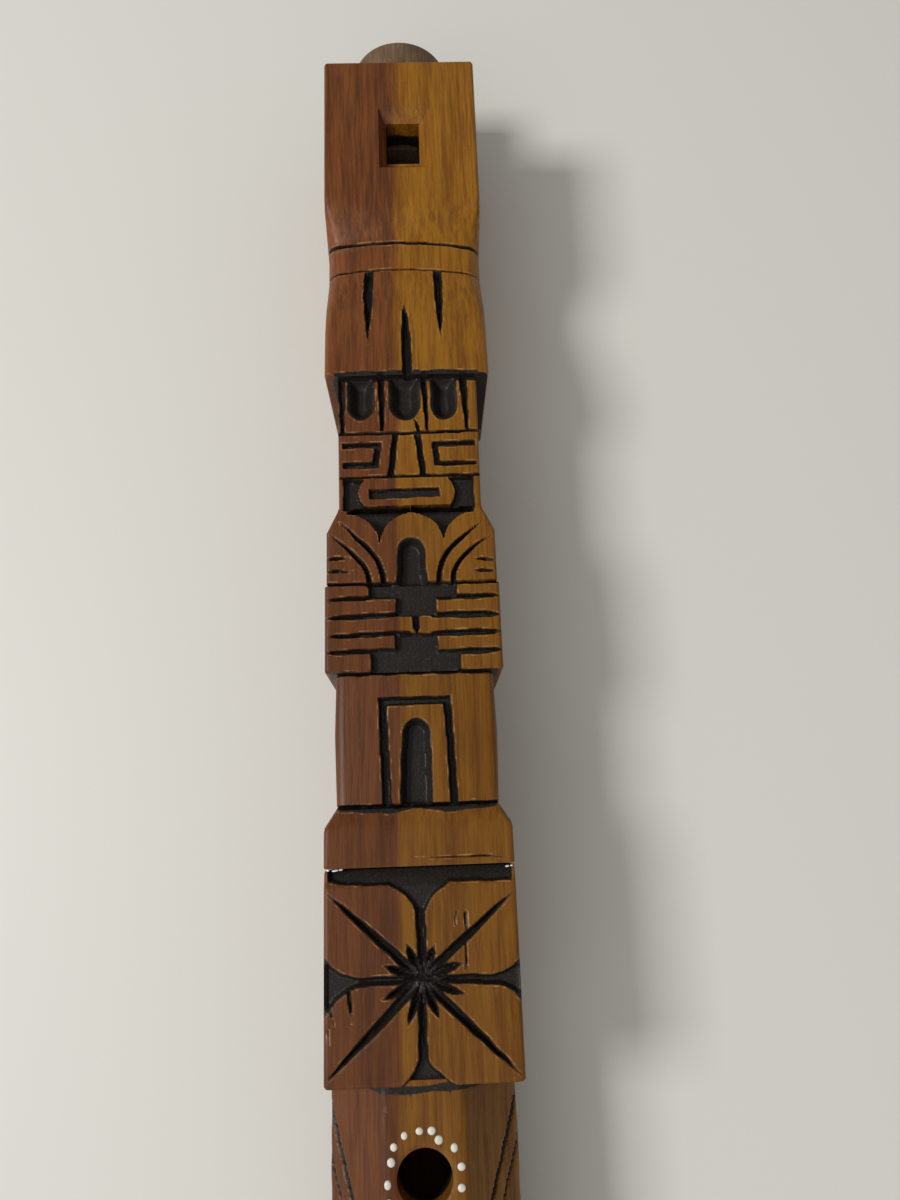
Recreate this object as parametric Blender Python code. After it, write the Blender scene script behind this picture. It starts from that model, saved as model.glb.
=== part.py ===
"""Carved wooden tarka flute, about half a metre long.

The flute lies on its back: its length runs along Y with the mouth end towards +Y, the carved front
and the finger holes face up, and X runs across. The back rests on z = 0 and the origin is below the
middle of the length. Units are metres. Distances called "down" are measured from the top edge of the
head towards the foot.
"""

import math
from collections import namedtuple

import bmesh
import bpy
from mathutils import Matrix, Vector

# Stock and bore
STOCK_WIDTH = 0.0400
STOCK_DEPTH = 0.0400
BORE_DIAMETER = 0.0200
BLOCK_CORNER = 0.0006

# Round mouth stub and the plug in it
STUB_DIAMETER = 0.0264
STUB_LENGTH = 0.0140
PLUG_CLEARANCE = 0.0003
WINDWAY_HEIGHT = 0.0018

# Window in the head
WINDOW_START = 0.0180
WINDOW_LENGTH = 0.0104
WINDOW_WIDTH = 0.0084
WINDOW_BEVEL = 0.0024
LIP_SLOPE = 0.0040

# Lengths of the carved blocks of the head, from the mouth end to the seam
HEAD_BLOCK_LENGTH = 0.0547
NECK_BAND_LENGTH = 0.0078
HAT_LENGTH = 0.0309
FACE_LENGTH = 0.0346
CHEST_LENGTH = 0.0184
HANDS_LENGTH = 0.0201
SKIRT_LENGTH = 0.0289
BASE_LENGTH = 0.0126

# Widths and setbacks of the blocks that are cut back from the stock
FACE_WIDTH = 0.0336
FACE_SETBACK = 0.0024
CHEST_WIDTH = 0.0388
HANDS_WIDTH = 0.0396
SKIRT_WIDTH = 0.0354
SKIRT_SETBACK = 0.0010
NECK_SETBACK = 0.0030
NECK_CROWN = 0.0030
SHOULDER_LENGTH = 0.0045

# Carving
GROUND_DEPTH = 0.0016
POCKET_DEPTH = 0.0024
GROOVE_DEPTH = 0.0014
SAW_CUT_WIDTH = 0.0009
SAW_CUT_DEPTH = 0.0024
CUTTER_RISE = 0.0030

# Spigot joint between head and body
JOINT_CLEARANCE = 0.0003
SPIGOT_DIAMETER = 0.0280
SPIGOT_LENGTH = 0.0180

# Body
FLOWER_BLOCK_LENGTH = 0.0413
FLOWER_CHAMFER_LENGTH = 0.0036
FLOWER_CHAMFER_DEPTH = 0.0015
TUBE_ACROSS_FLATS = 0.0384
FINGER_HOLE_COUNT = 6
FINGER_HOLE_DIAMETER = 0.0110
FIRST_HOLE_FROM_BLOCK = 0.0164
FINGER_HOLE_PITCH = 0.0330
FOOT_BLOCK_FROM_LAST_HOLE = 0.0350
FOOT_BLOCK_LENGTH = 0.0300
FOOT_GROOVE_FROM_END = 0.0090

# Chevron strokes on the slanted faces of the tube, a pair for each finger hole
CHEVRON_START = 0.0060
CHEVRON_RUN = 0.0340
CHEVRON_GAP = 0.0085
CHEVRON_WIDTH = 0.0012
CHEVRON_DEPTH = 0.0010
CHEVRON_EDGE_INSET = 0.0012

# Facets of round pieces
ROUND_SIDES = 40
HOLE_SIDES = 24

HEAD_LENGTH = (
    HEAD_BLOCK_LENGTH + NECK_BAND_LENGTH + HAT_LENGTH + FACE_LENGTH
    + CHEST_LENGTH + HANDS_LENGTH + SKIRT_LENGTH + BASE_LENGTH
)
BODY_TOP = HEAD_LENGTH + JOINT_CLEARANCE
TUBE_TOP = BODY_TOP + FLOWER_BLOCK_LENGTH
FIRST_HOLE_DOWN = TUBE_TOP + FIRST_HOLE_FROM_BLOCK
LAST_HOLE_DOWN = FIRST_HOLE_DOWN + (FINGER_HOLE_COUNT - 1) * FINGER_HOLE_PITCH
FOOT_BLOCK_TOP = LAST_HOLE_DOWN + FOOT_BLOCK_FROM_LAST_HOLE
FOOT_END = FOOT_BLOCK_TOP + FOOT_BLOCK_LENGTH
HEAD_TOP_Y = (FOOT_END - STUB_LENGTH) / 2.0
BORE_HEIGHT = STOCK_DEPTH / 2.0

# One cross-section of a block. at is 0 at the block's upper end and 1 at its lower end. setback is how
# far the middle of the front lies below the stock's front, and crown how much lower still its edges are.
Section = namedtuple("Section", "at width setback crown corner_across corner_deep")
Block = namedtuple("Block", "top length sections")


def plain(at, width=STOCK_WIDTH, setback=0.0, crown=0.0, across=BLOCK_CORNER, deep=BLOCK_CORNER):
    return Section(at, width, setback, crown, across, deep)


def clear_scene():
    for item in list(bpy.data.objects):
        bpy.data.objects.remove(item)


def new_collection(name):
    collection = bpy.data.collections.new(name)
    bpy.context.scene.collection.children.link(collection)
    return collection


def material(name, colour, roughness):
    finish = bpy.data.materials.new(name)
    finish.use_nodes = True
    shader = finish.node_tree.nodes["Principled BSDF"]
    shader.inputs["Base Color"].default_value = (*colour, 1.0)
    shader.inputs["Roughness"].default_value = roughness
    shader.inputs["Metallic"].default_value = 0.0
    return finish


def add_object(name, mesh, collection, finish=None):
    item = bpy.data.objects.new(name, mesh)
    collection.objects.link(item)
    if finish is not None:
        mesh.materials.append(finish)
    return item


def add_cutter(name, mesh, collection):
    item = add_object(name, mesh, collection)
    item.hide_render = True
    item.display_type = "WIRE"
    return item


def cut(item, operand, operation="DIFFERENCE"):
    """Adds a Boolean modifier whose operand is an object or a whole collection of cutters."""
    modifier = item.modifiers.new(operation.title(), "BOOLEAN")
    modifier.operation = operation
    modifier.solver = "EXACT"
    if isinstance(operand, bpy.types.Collection):
        modifier.operand_type = "COLLECTION"
        modifier.collection = operand
    else:
        modifier.object = operand


def y_at(down):
    """World Y of a distance down from the head's top edge."""
    return HEAD_TOP_Y - down


def round_mesh(name, diameter, top, bottom, sides=ROUND_SIDES, centre=(0.0, BORE_HEIGHT), turn=0.0):
    """A cylinder along Y between two distances down the flute."""
    mesh = bpy.data.meshes.new(name)
    shape = bmesh.new()
    bmesh.ops.create_cone(
        shape, cap_ends=True, segments=sides,
        radius1=diameter / 2.0, radius2=diameter / 2.0, depth=bottom - top,
    )
    place = Matrix.Translation((centre[0], y_at((top + bottom) / 2.0), centre[1]))
    lay_down = Matrix.Rotation(math.radians(90.0), 4, "X") @ Matrix.Rotation(turn, 4, "Z")
    bmesh.ops.transform(shape, matrix=place @ lay_down, verts=shape.verts)
    shape.to_mesh(mesh)
    shape.free()
    mesh.shade_smooth()
    mesh.set_sharp_from_angle(angle=math.radians(30.0))
    return mesh


def section_at(block, down_share):
    """The block's cross-section at a share of its length, read between its given ones."""
    before = block.sections[0]
    for after in block.sections[1:]:
        if down_share <= after.at:
            share = (down_share - before.at) / (after.at - before.at)
            return Section(*(a + (b - a) * share for a, b in zip(before, after)))
        before = after
    return before


def front_height(block, across, down_share):
    """Height of a block's front, with across from -1 to 1 over its width."""
    section = section_at(block, down_share)
    return STOCK_DEPTH - section.setback - section.crown * across * across


def ring_points(section, down):
    """Corner points round one cross-section, from the middle of the front round to it again."""
    half = section.width / 2.0
    front = STOCK_DEPTH - section.setback
    edge = 1.0 - section.corner_across / half
    side = [
        (0.5 * half, front - section.crown * 0.25),
        (edge * half, front - section.crown * edge * edge),
        (half, front - section.crown - section.corner_deep),
        (half, BLOCK_CORNER),
        (half - BLOCK_CORNER, 0.0),
    ]
    right = [(x, y_at(down), z) for x, z in side]
    left = [(-x, y_at(down), z) for x, z in reversed(side)]
    return [(0.0, y_at(down), front)] + right + left


def loft_mesh(name, rings):
    """Closed skin through rings of equal point counts. Loft faces join unlike cross-sections."""
    mesh = bpy.data.meshes.new(name)
    shape = bmesh.new()
    skin = [[shape.verts.new(point) for point in ring] for ring in rings]
    count = len(rings[0])
    for upper, lower in zip(skin, skin[1:]):
        for index in range(count):
            following = (index + 1) % count
            shape.faces.new((upper[index], upper[following], lower[following], lower[index]))
    shape.faces.new(list(reversed(skin[0])))
    shape.faces.new(skin[-1])
    bmesh.ops.remove_doubles(shape, verts=shape.verts, dist=1e-6)
    bmesh.ops.triangulate(shape, faces=shape.faces)
    bmesh.ops.recalc_face_normals(shape, faces=shape.faces)
    shape.to_mesh(mesh)
    shape.free()
    return mesh


def block_rings(block):
    return [ring_points(section, block.top + section.at * block.length) for section in block.sections]


def outline_cutter(name, block, points, depth, collection):
    """Cuts a flat outline into a block's front, with its floor a given depth below the surface.

    The points are shares of the block: across from -1 to 1 over its width, down from 0 to 1.
    """
    curve = bpy.data.curves.new(name, "CURVE")
    curve.dimensions = "2D"
    curve.fill_mode = "BOTH"
    curve.extrude = 0.5
    spline = curve.splines.new("POLY")
    spline.points.add(len(points) - 1)
    for vertex, (across, down_share) in zip(spline.points, points):
        vertex.co = (across, down_share, 0.0, 1.0)
    spline.use_cyclic_u = True
    drawn = bpy.data.objects.new(name, curve)
    collection.objects.link(drawn)
    bpy.context.view_layer.update()
    graph = bpy.context.evaluated_depsgraph_get()
    mesh = bpy.data.meshes.new_from_object(drawn.evaluated_get(graph))
    bpy.data.objects.remove(drawn)
    shape = bmesh.new()
    shape.from_mesh(mesh)
    bmesh.ops.remove_doubles(shape, verts=shape.verts, dist=1e-5)
    for vertex in shape.verts:
        across, down_share, side = vertex.co
        surface = front_height(block, across, min(max(down_share, 0.0), 1.0))
        offset = CUTTER_RISE if side > 0.0 else -depth
        half = section_at(block, min(max(down_share, 0.0), 1.0)).width / 2.0
        vertex.co = (across * half, y_at(block.top + down_share * block.length), surface + offset)
    bmesh.ops.triangulate(shape, faces=shape.faces)
    bmesh.ops.recalc_face_normals(shape, faces=shape.faces)
    shape.to_mesh(mesh)
    shape.free()
    mesh.name = name
    return add_cutter(name, mesh, collection)


def arc(centre, reach, start, end, steps):
    """Points on an ellipse with its radii in reach, angles in degrees, down growing downwards."""
    points = []
    for step in range(steps + 1):
        angle = math.radians(start + (end - start) * step / steps)
        points.append((centre[0] + reach[0] * math.cos(angle), centre[1] - reach[1] * math.sin(angle)))
    return points


def lens(left, right, middle, thickness):
    """A groove outline that runs across and thins out at both ends."""
    quarter = (right - left) / 4.0
    upper = middle - thickness / 2.0
    lower = middle + thickness / 2.0
    return [
        (left, middle), (left + quarter, upper), (right - quarter, upper),
        (right, middle), (right - quarter, lower), (left + quarter, lower),
    ]


def swept_groove(centre_line, widths, stretch):
    """Outline of a groove along a line of points. stretch turns a width into a share down."""
    left_side = []
    right_side = []
    for index, ((across, down_share), width) in enumerate(zip(centre_line, widths)):
        before = centre_line[max(index - 1, 0)]
        after = centre_line[min(index + 1, len(centre_line) - 1)]
        run = Vector((after[0] - before[0], (after[1] - before[1]) / stretch)).normalized()
        left_side.append((across - run.y * width / 2.0, down_share + run.x * width / 2.0 * stretch))
        right_side.append((across + run.y * width / 2.0, down_share - run.x * width / 2.0 * stretch))
    return left_side + list(reversed(right_side))


clear_scene()
flute = new_collection("tarka_flute")
head_cutters = new_collection("head_cutters")
body_cutters = new_collection("body_cutters")
joins = new_collection("joins")

varnished_wood = material("varnished_wood", (0.42, 0.19, 0.06), 0.38)
body_wood = material("body_wood", (0.44, 0.20, 0.06), 0.38)
raw_wood = material("raw_wood", (0.34, 0.25, 0.18), 0.70)


# Blocks of the head, each starting where the one above ends
head_block = Block(0.0, HEAD_BLOCK_LENGTH, (
    plain(0.0),
    plain(0.8),
    plain(0.91, setback=0.35 * NECK_SETBACK, crown=0.3 * NECK_CROWN, across=0.0009, deep=0.0030),
    plain(1.0, setback=NECK_SETBACK, crown=NECK_CROWN, across=0.0017, deep=0.0090),
))
neck_band = Block(head_block.top + head_block.length, NECK_BAND_LENGTH, (
    plain(0.0, setback=NECK_SETBACK, crown=NECK_CROWN, across=0.0017, deep=0.0090),
    plain(1.0, setback=NECK_SETBACK, crown=NECK_CROWN, across=0.0017, deep=0.0090),
))
hat = Block(neck_band.top + neck_band.length, HAT_LENGTH, (
    plain(0.0, setback=NECK_SETBACK, crown=NECK_CROWN, across=0.0017, deep=0.0090),
    plain(0.32, setback=0.4 * NECK_SETBACK, crown=0.6 * NECK_CROWN, across=0.0010, deep=0.0060),
    plain(0.7, setback=0.08 * NECK_SETBACK, crown=0.3 * NECK_CROWN, across=0.0006, deep=0.0050),
    plain(1.0, crown=0.2 * NECK_CROWN, across=0.0006, deep=0.0050),
))
face = Block(hat.top + hat.length, FACE_LENGTH, (
    plain(0.0, width=FACE_WIDTH, setback=FACE_SETBACK),
    plain(1.0, width=FACE_WIDTH, setback=FACE_SETBACK),
))
chest = Block(face.top + face.length, CHEST_LENGTH, (
    plain(0.0, width=FACE_WIDTH),
    plain(0.3, width=CHEST_WIDTH),
    plain(1.0, width=CHEST_WIDTH),
))
hands = Block(chest.top + chest.length, HANDS_LENGTH, (
    plain(0.0, width=HANDS_WIDTH),
    plain(1.0, width=HANDS_WIDTH),
))
skirt = Block(hands.top + hands.length, SKIRT_LENGTH, (
    plain(0.0, width=SKIRT_WIDTH, setback=SKIRT_SETBACK, crown=0.0008, across=0.0010, deep=0.0012),
    plain(1.0, width=SKIRT_WIDTH, setback=SKIRT_SETBACK, crown=0.0008, across=0.0010, deep=0.0012),
))
base = Block(skirt.top + skirt.length, BASE_LENGTH, (
    plain(0.0, width=SKIRT_WIDTH, setback=SKIRT_SETBACK, crown=0.0008, across=0.0010, deep=0.0012),
    plain(SHOULDER_LENGTH / BASE_LENGTH),
    plain(1.0),
))
head_blocks = (head_block, neck_band, hat, face, chest, hands, skirt, base)

rings = []
for block in head_blocks:
    rings.extend(block_rings(block))
head_piece = add_object("head_piece", loft_mesh("head_piece", rings), flute, varnished_wood)


# Round mouth stub, cut from the same wood as the head
stub = add_cutter("stub", round_mesh("stub", STUB_DIAMETER, -STUB_LENGTH, STUB_LENGTH), joins)
cut(head_piece, stub, "UNION")


# Bore of the head and the socket for the body's spigot
OVERRUN = 0.0050
add_cutter("head_bore", round_mesh(
    "head_bore", BORE_DIAMETER, -STUB_LENGTH - OVERRUN, HEAD_LENGTH + OVERRUN), head_cutters)
SOCKET_TOP = HEAD_LENGTH - SPIGOT_LENGTH
add_cutter("head_socket", round_mesh(
    "head_socket", SPIGOT_DIAMETER + 2.0 * JOINT_CLEARANCE, SOCKET_TOP, HEAD_LENGTH + OVERRUN), head_cutters)


def window_cutter(name, top_half_width, low_half_width, top_span, low_span, top_z, low_z):
    """A four-sided shaft through the front wall, with its own span along the flute at each end."""
    ring_high = []
    ring_low = []
    for sign_x, end in ((-1, 0), (1, 0), (1, 1), (-1, 1)):
        ring_high.append((sign_x * top_half_width, y_at(top_span[end]), top_z))
        ring_low.append((sign_x * low_half_width, y_at(low_span[end]), low_z))
    return add_cutter(name, loft_mesh(name, (ring_high, ring_low)), head_cutters)


# Window: a straight shaft down to the bore, with bevelled sides and a lip that slopes to the bore
WINDOW_END = WINDOW_START + WINDOW_LENGTH
window_cutter(
    "window_shaft", WINDOW_WIDTH / 2.0, WINDOW_WIDTH / 2.0,
    (WINDOW_START, WINDOW_END + LIP_SLOPE * 0.75), (WINDOW_START, WINDOW_END),
    STOCK_DEPTH + CUTTER_RISE, BORE_HEIGHT + BORE_DIAMETER * 0.45,
)
window_cutter(
    "window_bevel", WINDOW_WIDTH / 2.0 + 2.0 * WINDOW_BEVEL, WINDOW_WIDTH / 2.0,
    (WINDOW_START - 2.0 * WINDOW_BEVEL, WINDOW_END + LIP_SLOPE + WINDOW_BEVEL),
    (WINDOW_START, WINDOW_END + LIP_SLOPE * 0.5),
    STOCK_DEPTH + WINDOW_BEVEL, STOCK_DEPTH - WINDOW_BEVEL,
)


# Saw cuts across the front between the blocks
def saw_cut(name, block, down_share, width, depth, reach=1.1):
    half_share = width / block.length / 2.0
    outline_cutter(name, block, [
        (-reach, down_share - half_share), (reach, down_share - half_share),
        (reach, down_share + half_share), (-reach, down_share + half_share),
    ], depth, head_cutters)


saw_cut("neck_line", neck_band, 0.0, SAW_CUT_WIDTH, GROOVE_DEPTH)
saw_cut("hat_line", hat, 0.0, SAW_CUT_WIDTH, GROOVE_DEPTH)
saw_cut("brow_line", face, 0.43, SAW_CUT_WIDTH, GROOVE_DEPTH)
saw_cut("eye_line", face, 0.75, SAW_CUT_WIDTH, GROUND_DEPTH)
saw_cut("chest_line", chest, 1.0, SAW_CUT_WIDTH, SAW_CUT_DEPTH)
saw_cut("skirt_line", skirt, 1.0, SAW_CUT_WIDTH, SAW_CUT_DEPTH)


# Hat: three tapering cuts
outline_cutter("hat_cut_left", hat, [(-0.50, 0.0), (-0.38, 0.0), (-0.43, 0.58), (-0.465, 0.74), (-0.50, 0.55)],
               GROOVE_DEPTH, head_cutters)
outline_cutter("hat_cut_right", hat, [(0.36, 0.0), (0.48, 0.0), (0.47, 0.5), (0.43, 0.69), (0.38, 0.5)],
               GROOVE_DEPTH, head_cutters)
outline_cutter("hat_cut_middle", hat, [(-0.045, 1.05), (-0.05, 0.6), (-0.01, 0.36), (0.055, 0.6), (0.07, 1.05)],
               GROOVE_DEPTH, head_cutters)


# Forehead: three round-bottomed pockets under the hat and the cuts between them
def hanging_pocket(name, left, right, low):
    middle = (left + right) / 2.0
    reach = (right - left) / 2.0
    round_height = reach * FACE_WIDTH / 2.0 / FACE_LENGTH
    bottom = arc((middle, low - round_height), (reach, round_height), 0.0, -180.0, 6)
    outline_cutter(name, face, [(left, -0.02), (right, -0.02)] + bottom, POCKET_DEPTH, head_cutters)


hanging_pocket("brow_pocket_left", -0.88, -0.465, 0.32)
hanging_pocket("brow_pocket_middle", -0.27, 0.19, 0.33)
hanging_pocket("brow_pocket_right", 0.335, 0.72, 0.335)
for number, (left, right, tip, low) in enumerate((
        (-0.985, -0.905, -0.93, 0.40), (-0.41, -0.34, -0.37, 0.40),
        (0.225, 0.29, 0.26, 0.40), (0.76, 0.86, 0.83, 0.39))):
    outline_cutter("brow_cut_%d" % (number + 1), face,
                   [(left, -0.02), (right, -0.02), (right - 0.01, 0.3), (tip, low), (left + 0.02, 0.3)],
                   GROOVE_DEPTH, head_cutters)


# Nose and eyes
outline_cutter("nose_cut_left", face, [(-0.226, 0.42), (-0.15, 0.42), (-0.214, 0.75), (-0.31, 0.75)],
               GROOVE_DEPTH, head_cutters)
outline_cutter("nose_cut_right", face, [(0.083, 0.42), (0.178, 0.42), (0.245, 0.75), (0.149, 0.75)],
               GROOVE_DEPTH, head_cutters)
outline_cutter("eye_left", face, [
    (-0.94, 0.491), (-0.38, 0.491), (-0.43, 0.688), (-0.93, 0.688),
    (-0.93, 0.636), (-0.512, 0.636), (-0.494, 0.535), (-0.94, 0.535)], GROOVE_DEPTH, head_cutters)
outline_cutter("eye_right", face, [
    (0.94, 0.494), (0.345, 0.494), (0.357, 0.676), (0.946, 0.676),
    (0.946, 0.642), (0.44, 0.642), (0.43, 0.538), (0.94, 0.538)], GROOVE_DEPTH, head_cutters)


# Mouth: a raised plate with a slot, left standing between sunk grounds
outline_cutter("mouth_ground_left", face, [
    (-0.93, 0.77), (-0.619, 0.771), (-0.72, 0.855), (-0.595, 0.983), (-0.3, 1.02), (-0.93, 1.02)],
    GROUND_DEPTH, head_cutters)
outline_cutter("mouth_ground_right", face, [
    (0.9, 0.77), (0.518, 0.771), (0.619, 0.861), (0.542, 0.986), (0.3, 1.02), (0.9, 1.02)],
    GROUND_DEPTH, head_cutters)
outline_cutter("mouth_slot", face, [(-0.577, 0.838), (0.423, 0.838), (0.423, 0.907), (-0.577, 0.907)],
               GROOVE_DEPTH, head_cutters)


# Chest: three round-topped lobes, the sunk ground above them, a door and curved grooves
LOBE_RISE = 0.40
LOBE_REACH = 0.385
LOBE_FOOT = 0.475
CHEST_GROUND_DEPTH = GROUND_DEPTH + FACE_SETBACK
for side, name in ((-1, "left"), (1, "right")):
    outer = arc((side * 0.76, LOBE_FOOT), (LOBE_REACH, LOBE_RISE), 90.0, 90.0 + side * 88.0, 5)
    inner = arc((0.0, LOBE_FOOT), (LOBE_REACH, LOBE_RISE), 90.0 - side * 88.0, 90.0, 5)
    outline_cutter("lobe_ground_" + name, chest, [(side * 0.76, -0.02)] + outer + inner + [(0.0, -0.02)],
                   CHEST_GROUND_DEPTH, head_cutters)
    stretch = CHEST_WIDTH / 2.0 / CHEST_LENGTH
    long_groove = [(side * 0.86, 0.18), (side * 0.60, 0.45), (side * 0.38, 0.75), (side * 0.335, 1.0)]
    short_groove = [(side * 0.95, 0.36), (side * 0.71, 0.60), (side * 0.56, 0.85), (side * 0.50, 1.0)]
    outline_cutter("chest_groove_long_" + name, chest,
                   swept_groove(long_groove, (0.01, 0.06, 0.065, 0.05), stretch), GROOVE_DEPTH, head_cutters)
    outline_cutter("chest_groove_short_" + name, chest,
                   swept_groove(short_groove, (0.01, 0.06, 0.065, 0.05), stretch), GROOVE_DEPTH, head_cutters)
    for number, down_share in ((1, 0.66), (2, 0.83)):
        ends = sorted((side * 0.72, side * 0.965))
        outline_cutter("chest_dash_%d_%s" % (number, name), chest,
                       lens(ends[0], ends[1], down_share, 0.045), GROOVE_DEPTH, head_cutters)
door_top = arc((0.0, 0.58), (0.165, 0.17), 0.0, 180.0, 6)
outline_cutter("chest_door", chest, door_top + [(-0.19, 1.0), (0.185, 1.0)], POCKET_DEPTH, head_cutters)


# Hands: finger bars with grooves between them and a stepped sunk middle
outline_cutter("hands_ground_upper", hands, [
    (-0.5, 0.0), (0.515, 0.0), (0.515, 0.16), (0.268, 0.16),
    (0.268, 0.37), (-0.192, 0.37), (-0.192, 0.16), (-0.5, 0.16)], GROUND_DEPTH, head_cutters)
outline_cutter("hands_ground_lower", hands, [
    (-0.212, 0.60), (0.268, 0.60), (0.268, 0.79), (0.53, 0.79),
    (0.53, 1.0), (-0.485, 1.0), (-0.485, 0.79), (-0.212, 0.79)], GROUND_DEPTH, head_cutters)
outline_cutter("hands_slot", hands, [(0.0, 0.34), (0.08, 0.34), (0.08, 0.62), (0.0, 0.62)],
               GROUND_DEPTH, head_cutters)
for number, (down_share, left_end, right_start) in enumerate((
        (0.165, -0.17, 0.25), (0.372, -0.17, 0.25), (0.597, -0.02, 0.10), (0.795, -0.19, 0.25))):
    outline_cutter("finger_gap_left_%d" % (number + 1), hands,
                   lens(-0.985, left_end, down_share, 0.05), GROOVE_DEPTH, head_cutters)
    outline_cutter("finger_gap_right_%d" % (number + 1), hands,
                   lens(right_start, 0.985, down_share, 0.055), GROOVE_DEPTH, head_cutters)


# Skirt: a door in a grooved frame
outline_cutter("skirt_frame", skirt, [
    (-0.458, 0.19), (0.435, 0.19), (0.48, 1.0), (0.39, 1.0),
    (0.345, 0.255), (-0.37, 0.255), (-0.305, 1.0), (-0.43, 1.0)], GROOVE_DEPTH, head_cutters)
skirt_door_top = arc((0.005, 0.46), (0.17, 0.105), 0.0, 180.0, 6)
outline_cutter("skirt_door", skirt, skirt_door_top + [(-0.22, 1.0), (0.187, 1.0)], POCKET_DEPTH, head_cutters)

cut(head_piece, head_cutters)


# Fipple plug: a dowel with a flat that leaves the windway above it
PLUG_DIAMETER = BORE_DIAMETER - 2.0 * PLUG_CLEARANCE
fipple_plug = add_object("fipple_plug", round_mesh(
    "fipple_plug", PLUG_DIAMETER, -STUB_LENGTH, WINDOW_START), flute, raw_wood)
flat_height = BORE_HEIGHT + BORE_DIAMETER / 2.0 - WINDWAY_HEIGHT
flat_mesh = bpy.data.meshes.new("windway_flat")
flat_shape = bmesh.new()
bmesh.ops.create_cube(flat_shape, size=1.0)
flat_size = Matrix.Diagonal((STOCK_WIDTH, 2.0 * (STUB_LENGTH + WINDOW_START), STOCK_DEPTH, 1.0))
flat_place = Matrix.Translation((0.0, y_at(0.0), flat_height + STOCK_DEPTH / 2.0))
bmesh.ops.transform(flat_shape, matrix=flat_place @ flat_size, verts=flat_shape.verts)
flat_shape.to_mesh(flat_mesh)
flat_shape.free()
windway_flat = add_cutter("windway_flat", flat_mesh, joins)
cut(fipple_plug, windway_flat)


# Body: flower block, octagonal tube and foot block in one piece, with the spigot on top
flower_block = Block(BODY_TOP, FLOWER_BLOCK_LENGTH, (
    plain(0.0, setback=FLOWER_CHAMFER_DEPTH),
    plain(FLOWER_CHAMFER_LENGTH / FLOWER_BLOCK_LENGTH),
    plain(1.0),
))
foot_block = Block(FOOT_BLOCK_TOP, FOOT_BLOCK_LENGTH, (
    plain(0.0, setback=0.0015, width=STOCK_WIDTH - 0.0030),
    plain(0.1),
    plain(1.0),
))
body_tube = add_object("body_tube", loft_mesh("body_tube", block_rings(flower_block)), flute, body_wood)
OCTAGON_SIDES = 8
octagon_diameter = TUBE_ACROSS_FLATS / math.cos(math.pi / OCTAGON_SIDES)
TUBE_OVERLAP = 0.0050
tube = add_cutter("tube", round_mesh(
    "tube", octagon_diameter, TUBE_TOP - TUBE_OVERLAP, FOOT_BLOCK_TOP + TUBE_OVERLAP,
    sides=OCTAGON_SIDES, turn=math.pi / OCTAGON_SIDES), joins)
foot = add_cutter("foot", loft_mesh("foot", block_rings(foot_block)), joins)
spigot = add_cutter("spigot", round_mesh(
    "spigot", SPIGOT_DIAMETER, SOCKET_TOP + JOINT_CLEARANCE, BODY_TOP + TUBE_OVERLAP), joins)
cut(body_tube, tube, "UNION")
cut(body_tube, foot, "UNION")
cut(body_tube, spigot, "UNION")

add_cutter("body_bore", round_mesh(
    "body_bore", BORE_DIAMETER, SOCKET_TOP - OVERRUN, FOOT_END + OVERRUN), body_cutters)


# Finger holes, drilled from the front into the bore
def drill_mesh(name, diameter, down):
    mesh = bpy.data.meshes.new(name)
    shape = bmesh.new()
    length = STOCK_DEPTH / 2.0 + CUTTER_RISE
    bmesh.ops.create_cone(shape, cap_ends=True, segments=HOLE_SIDES,
                          radius1=diameter / 2.0, radius2=diameter / 2.0, depth=length)
    place = Matrix.Translation((0.0, y_at(down), BORE_HEIGHT + length / 2.0))
    bmesh.ops.transform(shape, matrix=place, verts=shape.verts)
    shape.to_mesh(mesh)
    shape.free()
    return mesh


hole_downs = [FIRST_HOLE_DOWN + index * FINGER_HOLE_PITCH for index in range(FINGER_HOLE_COUNT)]
for index, down in enumerate(hole_downs):
    name = "finger_hole_%d" % (index + 1)
    add_cutter(name, drill_mesh(name, FINGER_HOLE_DIAMETER, down), body_cutters)


# Flower: four flared notches, four rays to the corners and an eight-pointed star in the middle
FLOWER_MIDDLE = 0.525
flower_stretch = STOCK_WIDTH / 2.0 / FLOWER_BLOCK_LENGTH


def flower_point(across, down_share):
    """Turns a point about the flower's middle, in half widths, into shares of the block."""
    return (across, FLOWER_MIDDLE + down_share * flower_stretch)


def flower_cut(name, points, depth):
    outline_cutter(name, flower_block, [flower_point(*point) for point in points], depth, body_cutters)


STAR_VALLEY = 0.24
STAR_TIP = 0.42
RAY_START = 0.20
for name, end in (("up", (0, -1)), ("down", (0, 1)), ("left", (-1, 0)), ("right", (1, 0))):
    along = Vector(end)
    sideways = Vector((-along.y, along.x))
    flare = ((RAY_START, 0.05), (0.68, 0.05), (0.78, 0.09), (0.88, 0.16), (0.94, 0.23), (1.03, 0.33))
    outline = [tuple(along * reach + sideways * half) for reach, half in flare]
    outline += [tuple(along * reach - sideways * half) for reach, half in reversed(flare)]
    flower_cut("flower_notch_" + name, outline, GROUND_DEPTH)
for index in range(4):
    corner = Vector((-0.97 if index % 2 else 0.97, -0.89 if index < 2 else 0.93))
    sideways = Vector((-corner.y, corner.x)).normalized()
    start = corner.normalized() * RAY_START
    flower_cut("flower_ray_%d" % (index + 1), [
        tuple(corner), tuple(corner * 0.5 + sideways * 0.05), tuple(start + sideways * 0.05),
        tuple(start - sideways * 0.05), tuple(corner * 0.5 - sideways * 0.05)], GROOVE_DEPTH)
star = []
for index in range(16):
    angle = math.radians(22.5 * index)
    reach = STAR_TIP if index % 2 else STAR_VALLEY
    star.append((math.cos(angle) * reach, math.sin(angle) * reach))
flower_cut("flower_star", star, POCKET_DEPTH)


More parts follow.
